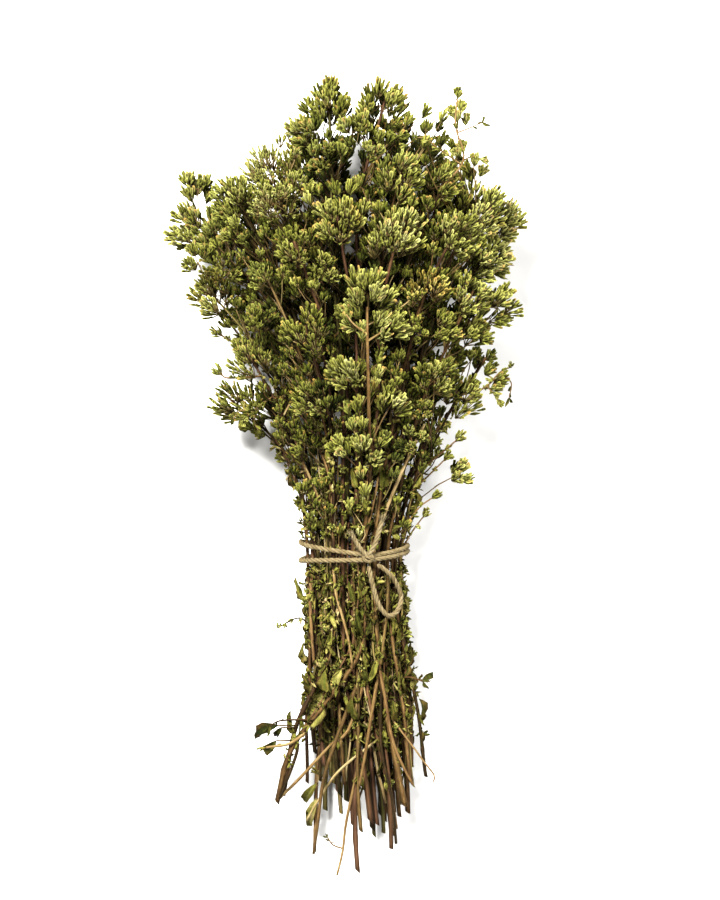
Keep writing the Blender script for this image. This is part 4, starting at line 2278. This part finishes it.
@dataclass
class DressedSpray:
    """One stem of the bunch with its flower heads, side twigs and leaves."""

    plan: SprayPlan
    twigs: Sequence[Twig]
    strays: Sequence[Stray]
    big_leaves: Sequence[BigLeaf]
    slots: Sequence[str]
    stem_points: int = 60
    stem_sides: int = 8
    ribs: float = 0.2
    leaf_lift: float = 3.0
    leaf_stalk: Span = (0.5, 0.4)

    def __post_init__(self) -> None:
        """Seed the spray's own numbers, choose its look and start its bag."""
        self.rng = np.random.default_rng(SEED * 100 + self.plan.index)
        self.shows = self.plan.index < len(FRONT_LOOKS)
        self.stem_tone = float(self.rng.choice(STEM_LOOK.tones) + self.rng.normal(0.0, 0.06))
        self.bag = MeshBag()
        look = FRONT_LOOKS[self.plan.index] if self.shows else BACK_LOOK
        self.flowers = Flowers(self.bag, look, self.rng, self.stem_tone)
        self.buds = Flowers(self.bag, TUFTS.bud_look, self.rng, self.stem_tone)
        self.foliage = Foliage()
        self.crumbs = Foliage(SMALL_OUTLINE, columns=3)

    def grow_stem(self) -> None:
        """Build the ribbed stem with its slightly swollen, slightly bent nodes."""
        plan, rng = self.plan, self.rng
        points = smooth_route(plan.points, self.stem_points)
        lengths = lengths_along(points)
        radii = np.interp(lengths / lengths[-1], (0.0, 1.0), (STEMS.foot_radius, STEMS.tip_radius))
        across = np.sin(lengths / STEM_LOOK.periods[0] + rng.uniform(*STEM_LOOK.phases))
        upward = np.cos(lengths / STEM_LOOK.periods[1] + rng.uniform(*STEM_LOOK.phases))
        wander = np.stack([across, np.zeros(len(points)), upward], axis=1)
        points = points + wander * np.interp(points[:, 1], *STEM_LOOK.wander)[:, None]
        node = rng.uniform(*STEM_LOOK.first_node)
        while node < lengths[-1] - STEM_LOOK.plain_end:
            swelling = np.exp(-((lengths - node) / STEM_LOOK.node_length) ** 2)
            radii = radii * (1.0 + STEM_LOOK.node_swelling * swelling)
            node += rng.uniform(*STEM_LOOK.node_steps)
        tables = [CROWN if point[1] > STEM_LOOK.crown_from else BUNCH for point in points]
        outs = [out_share(table, point) for table, point in zip(tables, points)]
        depths = 1.0 - np.minimum(outs, 1.0) ** 2
        lows = np.interp(points[:, 1], *STEM_LOOK.low_shade)
        tones = np.clip(self.stem_tone - STEM_LOOK.shade * depths - lows, 0.0, 1.0)
        add_tube(
            self.bag, points, radii * rng.uniform(*STEM_LOOK.scales), self.stem_sides, tones,
            float(rng.random()), ribs=self.ribs, slant=rng.uniform(*STEM_LOOK.slants))

    def grow_heads(self) -> None:
        """Build every flower head that the plan has."""
        for head in self.plan.heads:
            self.flowers.grow_head(head, not self.shows)

    def grow_twigs(self) -> None:
        """Build the side twigs, each with a small fan of spikelets at its end."""
        for twig in self.twigs:
            way = unit(twig.top - twig.root)
            fan = unit(way + np.array((0.0, TWIGS.along_share, 0.0)))
            base = twig.top - fan * twig.fan * TWIGS.base_share
            self.flowers.grow_branchlet(twig.root, base, TWIGS.radius)
            count = int(self.rng.integers(*TWIGS.spikelets))
            self.flowers.grow_fan(base, fan, twig.fan, count, tone_shift=twig.tone_shift)

    def grow_leaves(self) -> None:
        """Build the larger leaves that the plan has."""
        rng = self.rng
        for leaf in self.plan.leaves:
            tone = clipped(rng.normal(*BLADES.tones), 0.05, 0.95)
            self.foliage.add(
                leaf.root, leaf.run, leaf.face, leaf.length, leaf.width * rng.uniform(*BLADES.cut_widths),
                rng.uniform(*BLADES.curls), rng.uniform(*BLADES.folds),
                rng.normal(0.0, BLADES.twist), tone, float(rng.random()))

    def outward(self, point: Points) -> Points:
        """The way out of the bunch at a point of a stem."""
        across, height, half_width, half_depth = table_at(BUNCH, float(point[1]))
        return unit(np.array([(point[0] - across) / half_width, 0.0, (point[2] - height) / half_depth]))

    def grow_tuft(self, root: Points, out: Points) -> None:
        """Build one tuft of small crumpled leaves.

        Args:
            root: Where it sits.
            out: The way out of the bunch there.
        """
        rng = self.rng
        tone = float(rng.normal(np.interp(root[1], *TUFTS.tones), TUFTS.tone_spread))
        away = 1.0 if root[1] > 0.0 else -1.0
        if root[1] < TUFTS.hanging_below and rng.random() < TUFTS.hanging_share:
            self.grow_hanging(root, out, tone)
        if rng.random() < TUFTS.bud_share and root[2] > TUFTS.lowest * 2.0:
            run = unit(out + np.array((0.0, rng.uniform(-0.4, 1.0), 0.0)) + rng.normal(0.0, 0.4, 3))
            size, count = rng.uniform(*TUFTS.buds), int(rng.integers(*TUFTS.bud_spikelets))
            self.buds.grow_fan(root + out * 0.5, run, size, count)
        for _ in range(int(rng.integers(*TUFTS.leaves))):
            way = unit(out + rng.normal(0.0, 0.7, 3) * (1.0, 0.0, 1.0))
            lean = rng.uniform(*TUFTS.leans)
            if abs(root[1]) < TUFTS.clear_of_tie * 2.0:
                lean = abs(lean) * away
            open_way = rng.uniform(*TUFTS.opens)
            if root[1] < TUFTS.hanging_below:
                open_way *= TUFTS.closed
            run = unit(way * open_way + np.array((0.0, lean, 0.0)))
            length = rng.uniform(*TUFTS.lengths)
            start = root + way * 0.7 + np.array((0.0, rng.normal(0.0, 1.2), 0.0))
            if start[2] + min(run[2], 0.0) * length < TUFTS.lowest:
                continue
            self.crumbs.add(
                start, run, unit(out + rng.normal(0.0, 0.8, 3)), length,
                length * rng.uniform(*TUFTS.shares), rng.uniform(*TUFTS.curls), rng.uniform(*TUFTS.folds),
                rng.normal(0.0, TUFTS.twist), clipped(tone + rng.normal(0.0, 0.12)), float(rng.random()))

    def grow_hanging(self, root: Points, out: Points, tone: float) -> None:
        """Build one longer, half rolled leaf that lies along the bunch.

        Args:
            root: Where it sits.
            out: The way out of the bunch there.
            tone: Its tone.
        """
        rng = self.rng
        along = -1.0 if rng.random() < 0.75 else 1.0
        across = np.array((-out[2], 0.0, out[0])) * rng.normal(0.0, 0.3)
        run = unit(np.array((0.0, along, 0.0)) + across + out * rng.uniform(-0.05, 0.25))
        length = rng.uniform(*TUFTS.hanging)
        start = root + out * rng.uniform(0.4, 1.4)
        if start[2] + min(run[2], 0.0) * length > TUFTS.lowest:
            self.foliage.add(
                start, run, unit(out + rng.normal(0.0, 0.5, 3)), length,
                length * rng.uniform(*TUFTS.hanging_shares), rng.uniform(*TUFTS.hanging_curls),
                rng.uniform(*TUFTS.hanging_folds), rng.normal(0.0, TUFTS.hanging_twist), clipped(tone),
                float(rng.random()))

    def grow_tufts(self, line: Points) -> None:
        """Build the tufts along a stem or shoot.

        Args:
            line: The points of the stem or shoot.
        """
        rng = self.rng
        along = max(TUFTS.alongs[0], float(line[0][1]) + 5.0)
        top = min(TUFTS.alongs[1], float(line[-1][1]) - 4.0)
        while along < top:
            step = rng.uniform(*TUFTS.steps)
            if along < TUFTS.sparse_below or along > TUFTS.sparse_above:
                step *= TUFTS.sparse_share
            along += step
            if abs(along) > TUFTS.clear_of_tie:
                root = np.array([np.interp(along, line[:, 1], line[:, axis]) for axis in range(3)])
                self.grow_tuft(root, self.outward(root))

    def grow_shoots(self) -> None:
        """Build the thin leafy shoots beside an outer stem."""
        plan, rng = self.plan, self.rng
        if np.linalg.norm(plan.place) < TUFTS.outer:
            return
        line = np.linspace(plan.foot[1], plan.points[-1][1] - 12.0, 60)
        self.grow_tufts(np.array([plan.stem_at(along) for along in line]))
        for number in range(int(rng.integers(*SHOOTS.counts))):
            start = max(rng.uniform(*SHOOTS.starts), float(plan.foot[1]) + 2.0)
            end = min(start + rng.uniform(*SHOOTS.lengths), float(plan.points[-1][1]) - 10.0)
            side = 1.0 if (number + plan.index) % 2 else -1.0
            aside, outward = rng.uniform(*SHOOTS.aside) * side, rng.uniform(*SHOOTS.outward)
            phase = rng.uniform(0.0, math.tau)
            points = []
            for along in np.linspace(start, end, SHOOTS.points):
                stem = plan.stem_at(along)
                out = self.outward(stem)
                share = smooth_step((along - start) / SHOOTS.ease)
                free = 1.0 - math.exp(-(along / SHOOTS.waist) ** 2)
                sway = math.sin(along / SHOOTS.sway_length + phase) * SHOOTS.sway * free
                beside = np.array((-out[2], 0.0, out[0])) * (aside + sway)
                point = stem + (beside + out * outward * free) * share
                points.append(point * (1.0, 1.0, 0.0) + (0.0, 0.0, max(point[2], TUFTS.lowest)))
            points = np.array(points)
            radius = rng.uniform(*SHOOTS.radii)
            tone = clipped(self.stem_tone + rng.normal(*SHOOTS.tones), high=SHOOTS.palest)
            radii = np.linspace(radius, radius * SHOOTS.taper, len(points))
            add_tube(self.bag, points, radii, SHOOTS.sides, tone, float(rng.random()), ribs=SHOOTS.ribs)
            self.grow_tufts(points)
            run = unit(points[-1] - points[-3])
            self.flowers.grow_fan(points[-1] - run * 1.5, run, SHOOTS.fan, SHOOTS.fan_spikelets)

    def grow_strays(self) -> None:
        """Build the stray twigs that leave this spray."""
        alongs = np.linspace(self.plan.foot[1], self.plan.points[-1][1], 80)
        line = np.array([self.plan.stem_at(along) for along in alongs])
        for stray in self.strays:
            self.grow_stray(stray, line)

    def grow_stray(self, stray: Stray, line: Points) -> None:
        """Build one stray twig and the twigs that leave it.

        Args:
            stray: The twig.
            line: The points of the stem or twig that it leaves.
        """
        rng = self.rng
        ways = np.array(stray.way, dtype=float)
        root = line[int(np.argmin(np.linalg.norm(line[:, :2] - ways[0], axis=1)))]
        runs = lengths_along(ways)
        heights = root[2] + stray.lift * np.sin(runs / runs[-1] * STRAY_LOOK.arch)
        route = np.vstack([root, np.column_stack([ways, heights])[1:]])
        points = smooth_route(route, STRAY_LOOK.points)
        tone = clipped(stray.tone + rng.normal(0.0, STRAY_LOOK.tones))
        radii = np.linspace(stray.radius, stray.radius * STRAY_LOOK.taper, len(points))
        add_tube(
            self.bag, points, radii, STRAY_LOOK.sides, tone, float(rng.uniform(0.3, 0.8)),
            ribs=STRAY_LOOK.ribs, slant=STRAY_LOOK.slant)
        self.end_stray(stray, points)
        for twig in stray.twigs:
            self.grow_stray(twig, points)

    def end_stray(self, stray: Stray, points: Points) -> None:
        """Build what a stray twig carries.

        Args:
            stray: The twig.
            points: Its middle line.
        """
        rng, flowers, size = self.rng, self.flowers, stray.size
        run = unit(points[-1] - points[-3])
        if stray.tip is Tip.FAN:
            flowers.grow_fan(points[-1] - run, run, size, STRAY_LOOK.end_spikelets, False)
            for spot in STRAY_LOOK.side_fans:
                aside = unit(run + rng.normal(0.0, 0.8, 3))
                flowers.grow_fan(
                    points[spot], aside, size * STRAY_LOOK.side_share, STRAY_LOOK.side_spikelets, False)
        elif stray.tip is Tip.BUDS:
            for spot in STRAY_LOOK.buds:
                aside = unit(run + rng.normal(0.0, 1.0, 3))
                flowers.grow_fan(points[spot], aside, size, STRAY_LOOK.bud_spikelets, False)
        elif stray.tip is Tip.LEAVES:
            for number, spot in enumerate(STRAY_LOOK.leaves):
                side = np.cross(run, (0.0, 0.0, 1.0)) * (1.0 if number % 2 else -1.0)
                way = unit(run + side * rng.uniform(0.2, 1.1) + rng.normal(0.0, 0.25, 3))
                length = size * (1.0 if number < 2 else 0.7) * rng.uniform(0.7, 1.3)
                self.foliage.add(
                    points[spot], way, unit((0.1, 0.1, 1.0) + rng.normal(0.0, 0.5, 3)), length,
                    length * rng.uniform(0.36, 0.6), rng.uniform(-0.8, 2.2), rng.uniform(0.4, 1.4),
                    rng.normal(0.0, 0.7), stray.tone * 0.7, float(rng.random()))

    def grow_big_leaves(self) -> None:
        """Build the larger leaves that hang from this spray."""
        for leaf in self.big_leaves:
            stem = self.plan.stem_at(leaf.start[1])
            height = stem[2] + self.leaf_lift
            start = np.array((*leaf.start, height))
            run = np.array((*leaf.end, height)) - start
            add_rods(self.bag, stem[None], start[None], self.leaf_stalk, 0.4, np.full(1, 0.5))
            face = unit((0.0, 0.0, 1.0) + self.rng.normal(0.0, 0.15, 3))
            self.foliage.add(
                start, run, face, float(np.linalg.norm(run)), leaf.width, leaf.curl, leaf.fold,
                self.rng.normal(0.0, 0.3), leaf.tone, float(self.rng.random()))

    def build(self, materials: Sequence[bpy.types.Material]) -> bpy.types.Object:
        """Build the whole spray as one piece in place of its solid.

        Args:
            materials: The stem, spikelet and leaf materials.

        Returns:
            The piece.
        """
        self.grow_stem()
        self.grow_heads()
        self.grow_twigs()
        self.grow_leaves()
        self.grow_shoots()
        self.grow_strays()
        self.grow_big_leaves()
        self.foliage.build(self.bag)
        self.crumbs.build(self.bag)
        piece = self.bag.to_object(f"{self.plan.name}_dressed", materials)
        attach(piece, "root")
        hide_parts(self.plan.name)
        leaves = len(self.foliage.rows) + len(self.crumbs.rows)
        LOG.info("%s: %d spikelets, %d leaves, %d triangles",
                 piece.name, self.bag.spikelets, leaves, self.bag.triangles())
        return piece


def share_among(sprays: Sequence[SprayPlan], things: Sequence, place: Callable) -> list[list]:
    """Give each stray twig or leaf to the nearest stem on the front of the bunch.

    Args:
        sprays: The settled sprays.
        things: What is given.
        place: Gives a thing's place across and along.

    Returns:
        The things of each spray.
    """
    shared: list[list] = [[] for _ in sprays]
    for thing in things:
        across, along = place(thing)
        reach = [
            abs(spray.stem_at(along)[0] - across) - 0.35 * spray.stem_at(along)[2]
            if spray.foot[1] < along < spray.points[-1][1] else HEADS.far
            for spray in sprays
        ]
        shared[int(np.argmin(reach))].append(thing)
    return shared


# The twine


@dataclass(frozen=True)
class Ply:
    """How the twine is laid: three strands twisted round each other."""

    strands: int = 3
    offset: float = 0.45
    strand: float = 0.52
    pitch: float = 9.5
    sides: int = 7
    fibre: Span = (0.09, 0.05)
    end_fibre: Span = (0.13, 0.06)

    def add(
        self, bag: MeshBag, points: Points, radius: float, tone: float, closed: bool, seed: int
    ) -> None:
        """Add a twisted cord along a line.

        Args:
            bag: Where it goes.
            points: Its middle line.
            radius: Its outer radius.
            tone: Its tone.
            closed: Whether it meets itself.
            seed: The seed of its small flaws.
        """
        rng = np.random.default_rng(seed)
        _, first, second = carried_axes(points, closed)
        ring = np.vstack([points, points[:1]]) if closed else points
        lengths = lengths_along(ring)
        total = lengths[-1]
        lengths = lengths[:len(points)]
        twists = max(1, round(total / self.pitch))
        for strand in range(self.strands):
            phase = strand * math.tau / self.strands
            angles = phase + lengths / total * twists * math.tau
            swell = 1.0 + 0.06 * np.sin(lengths / total * math.tau * rng.integers(4, 9) + phase)
            offset = radius * self.offset * swell
            aside = first * np.cos(angles)[:, None] + second * np.sin(angles)[:, None]
            middle = points + aside * offset[:, None]
            radii = np.full(len(points), radius * self.strand)
            if not closed:
                ends = np.clip(np.minimum(lengths, total - lengths) / 1.2, 0.35, 1.0)
                radii = radii * ends
            add_tube(
                bag, middle, radii, self.sides, tone + rng.normal(0.0, 0.06), float(rng.random()),
                closed=closed)


PLY = Ply()


def twine_fibres(
    bag: MeshBag, points: Points, radius: float, count: int, lengths: Span, seed: int
) -> None:
    """Add stray fibres that stand off a cord.

    Args:
        bag: Where they go.
        points: The cord's middle line.
        radius: The cord's radius.
        count: How many.
        lengths: Their least and greatest length.
        seed: The seed of their places.
    """
    rng = np.random.default_rng(seed)
    picks = rng.integers(1, len(points) - 1, count)
    along = unit(points[picks + 1] - points[picks - 1])
    first, second = side_axes(along, rng.uniform(0.0, math.tau, count))
    starts = points[picks] + first * radius * 0.8
    sizes = rng.uniform(*lengths, count)[:, None]
    lean = rng.normal(0.0, 1.1, (count, 1))
    ends = starts + unit(first + along * lean + second * rng.normal(0.0, 0.4, (count, 1))) * sizes
    add_rods(bag, starts, ends, PLY.fibre, 0.75, rng.random(count))


@dataclass
class HalfBow:
    """The free loop of the half bow, as a twisted cord."""

    node: str = "twine_loop"
    route_points: int = 36
    mesh_points: int = 110
    tone: float = 0.55

    def build(self, material: bpy.types.Material) -> bpy.types.Object:
        """Build the loop on the route that its solid has.

        Args:
            material: The twine's material.

        Returns:
            The piece.
        """
        bag = MeshBag()
        line = smooth_route(BOW_ROUTE, self.mesh_points)
        PLY.add(bag, line, TWINE_RADIUS, self.tone, False, SEED)
        piece = bag.to_object("twine_loop_laid", [material])
        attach(piece, "root")
        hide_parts(self.node)
        path = in_frame(smooth_route(BOW_ROUTE, self.route_points))
        return piece


@dataclass
class TwineTie:
    """The two wraps round the waist, the knot in front and the two frayed ends."""

    node: str = "twine"
    wrap_mesh_points: int = 240
    end_mesh_points: int = 40
    tone: float = 0.5
    fray: int = 34
    wrap_fibres: tuple = (60, (1.0, 3.2))
    end_fibres: tuple = (24, (0.8, 2.6))
    bow_fibres: tuple = (44, (0.8, 2.6))

    def build(self, material: bpy.types.Material) -> bpy.types.Object:
        """Build the tie as one piece.

        Args:
            material: The twine's material.

        Returns:
            The piece.
        """
        bag = MeshBag()
        for number, alongs in enumerate(WRAP_ALONGS):
            wrap = wrap_points(alongs, self.wrap_mesh_points)
            PLY.add(bag, wrap, TWINE_RADIUS, self.tone, True, SEED + number)
            twine_fibres(bag, wrap, TWINE_RADIUS, *self.wrap_fibres, SEED + number)
        for number, route in enumerate(TWINE_ENDS):
            end = smooth_route(route, self.end_mesh_points)
            PLY.add(bag, end, TWINE_RADIUS * 0.94, self.tone + 0.08, False, SEED + 7 + number)
            twine_fibres(bag, end, TWINE_RADIUS, *self.end_fibres, SEED + 9 + number)
            self.add_fray(bag, end, SEED + 11 + number)
        self.add_knot(bag)
        bow = smooth_route(BOW_ROUTE, 60)[6:]
        twine_fibres(bag, bow, TWINE_RADIUS, *self.bow_fibres, SEED + 15)
        piece = bag.to_object("twine_tie", [material])
        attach(piece, "root")
        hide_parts(self.node)
        LOG.info("%s: %d triangles", piece.name, bag.triangles())
        return piece

    def add_fray(self, bag: MeshBag, end: Points, seed: int) -> None:
        """Add the loose fibres at a cut end.

        Args:
            bag: Where they go.
            end: The end's middle line.
            seed: The seed of their places.
        """
        rng = np.random.default_rng(seed)
        run = unit(end[-1] - end[-4])
        back = run * rng.uniform(0.4, 2.0, (self.fray, 1))
        starts = end[-1] - back + rng.normal(0.0, 0.6, (self.fray, 3))
        ways = unit(run + rng.normal(0.0, 0.32, (self.fray, 3)))
        ends = starts + ways * rng.uniform(2.0, 4.6, (self.fray, 1))
        add_rods(bag, starts, ends, PLY.end_fibre, 0.72, rng.random(self.fray))

    def add_knot(self, bag: MeshBag) -> None:
        """Add the crossing turns of the knot, inside its solid's ellipsoid.

        Args:
            bag: Where they go.
        """
        middle = np.array(KNOT_AT)
        wide, tall, deep = KNOT_RADII
        turns = (
            ((1.0, 0.55, 0.25), (-0.35, 0.85, 0.1), 0.66),
            ((-0.7, 0.75, 0.3), (0.6, 0.7, -0.1), 0.62),
            ((0.15, 0.2, 1.0), (1.0, -0.3, 0.0), 0.5),
        )
        for number, (first, second, size) in enumerate(turns):
            first, second = unit(np.array(first)), np.array(second)
            second = unit(second - first * float(second @ first))
            angles = np.linspace(0.0, math.tau, 48, endpoint=False)[:, None]
            ring = (first * np.cos(angles) + second * np.sin(angles)) * (wide, tall, deep) * size
            PLY.add(bag, middle + ring, TWINE_RADIUS * 0.82, self.tone, True, SEED + 20 + number)


# Camera, light and floor


@dataclass
class Studio:
    """A camera that looks straight down, soft light from above, and a plain floor."""

    aim: Span = (0.0081, 0.0134)
    frame_height: float = 0.468
    heads_height: float = 0.06
    distance: float = 2.2
    sensor: float = 36.0
    key_at: Point = (-0.65, 1.0, 1.85)
    key_power: float = 190.0
    key_size: float = 0.6
    side_at: Point = (1.25, 0.1, 1.7)
    side_power: float = 60.0
    side_size: float = 0.9
    world: float = 0.024
    backdrop: float = 0.95
    low_at: Point = (1.5, -0.2, 0.55)
    low_power: float = 3.5
    low_size: float = 0.8
    key_colour: Colour = (1.0, 0.985, 0.95)
    side_colour: Colour = (1.0, 0.99, 0.97)
    low_colour: Colour = (1.0, 1.0, 1.0)
    exposure: float = 0.5
    gamma: float = 0.87
    floor_size: float = 4.4

    def place_camera(self) -> None:
        """Place the camera above the part, with +Y up in the picture."""
        data = bpy.data.cameras.new("Overhead_camera")
        data.sensor_width = self.sensor
        data.lens = self.sensor * self.distance / self.frame_height
        data.clip_start = 0.05
        data.clip_end = 50.0
        camera = bpy.data.objects.new("Overhead_camera", data)
        camera.location = (*self.aim, self.heads_height + self.distance)
        bpy.context.scene.collection.objects.link(camera)
        bpy.context.scene.camera = camera

    def add_light(self, name: str, place: Point, power: float, size: float, colour: Point) -> None:
        """Add one soft square light that faces the bunch.

        Args:
            name: Its name.
            place: Where it is.
            power: Its power, in watts.
            size: Its side's length.
            colour: Its colour.
        """
        data = bpy.data.lights.new(name, "AREA")
        data.energy = power
        data.size = size
        data.color = colour
        lamp = bpy.data.objects.new(name, data)
        lamp.location = place
        aim = Vector((self.aim[0], self.aim[1], self.heads_height)) - Vector(place)
        lamp.rotation_euler = aim.to_track_quat("-Z", "Y").to_euler()
        bpy.context.scene.collection.objects.link(lamp)

    def light(self) -> None:
        """Light the bunch from above with a weak fill all round."""
        self.add_light("Key_light", self.key_at, self.key_power, self.key_size, self.key_colour)
        self.add_light("Side_light", self.side_at, self.side_power, self.side_size, self.side_colour)
        across, along, height = self.low_at
        for name, side in (("Left_light", -across), ("Right_light", across)):
            place = (side, along, height)
            self.add_light(name, place, self.low_power, self.low_size, self.low_colour)
        world = bpy.data.worlds.new("Studio_air")
        bpy.context.scene.world = world
        world.use_nodes = True
        air = world.node_tree.nodes["Background"]
        air.inputs["Color"].default_value = (1.0, 1.0, 1.0, 1.0)
        air.inputs["Strength"].default_value = self.world
        nodes = Nodes(world.node_tree)
        backdrop = nodes.add("ShaderNodeBackground")
        backdrop.inputs["Strength"].default_value = self.backdrop
        seen = nodes.add("ShaderNodeMixShader")
        nodes.feed(seen.inputs[0], nodes.add("ShaderNodeLightPath").outputs["Is Camera Ray"])
        nodes.feed(seen.inputs[1], air.outputs[0])
        nodes.feed(seen.inputs[2], backdrop.outputs[0])
        nodes.feed(world.node_tree.nodes["World Output"].inputs["Surface"], seen.outputs[0])
        view = bpy.context.scene.view_settings
        view.view_transform = "Standard"
        view.look = "None"
        view.exposure = self.exposure
        view.gamma = self.gamma

    def lay_floor(self) -> None:
        """Lay the floor just under the part."""
        half = self.floor_size * 0.5
        mesh = bpy.data.meshes.new("Floor")
        corners = [(-half, -half, 0.0), (half, -half, 0.0), (half, half, 0.0), (-half, half, 0.0)]
        mesh.from_pydata(corners, [], [(0, 1, 2, 3)])
        mesh.materials.append(FloorFinish().make())
        floor = bpy.data.objects.new("Floor", mesh)
        bpy.context.scene.collection.objects.link(floor)


def main() -> None:
    """Build the camera, the twine, every spray and the studio, and note the sizes."""
    logging.basicConfig(level=logging.INFO, format="%(name)s %(message)s")
    studio = Studio()
    studio.place_camera()
    twine = TwineFinish().make()
    HalfBow().build(twine)
    TwineTie().build(twine)
    sprays = list_sprays()
    space = settle(sprays)
    LOG.info("%d sprays settled", len(sprays))
    materials = [StemFinish().make(), FloretFinish().make(), LeafFinish().make()]
    slots = [row["slot"] for row in frame["record"]["materials"] if row["slot"].startswith("plant")]
    strays = share_among(sprays, STRAYS, lambda stray: stray.way[0])
    leaves = share_among(sprays, BIG_LEAVES, lambda leaf: leaf.start)
    for plan, twigs in zip(sprays, share_twigs(sprays, space)):
        spot = plan.index
        DressedSpray(plan, twigs, strays[spot], leaves[spot], slots).build(materials)
    studio.light()
    studio.lay_floor()


if __name__ == "__main__":
    main()
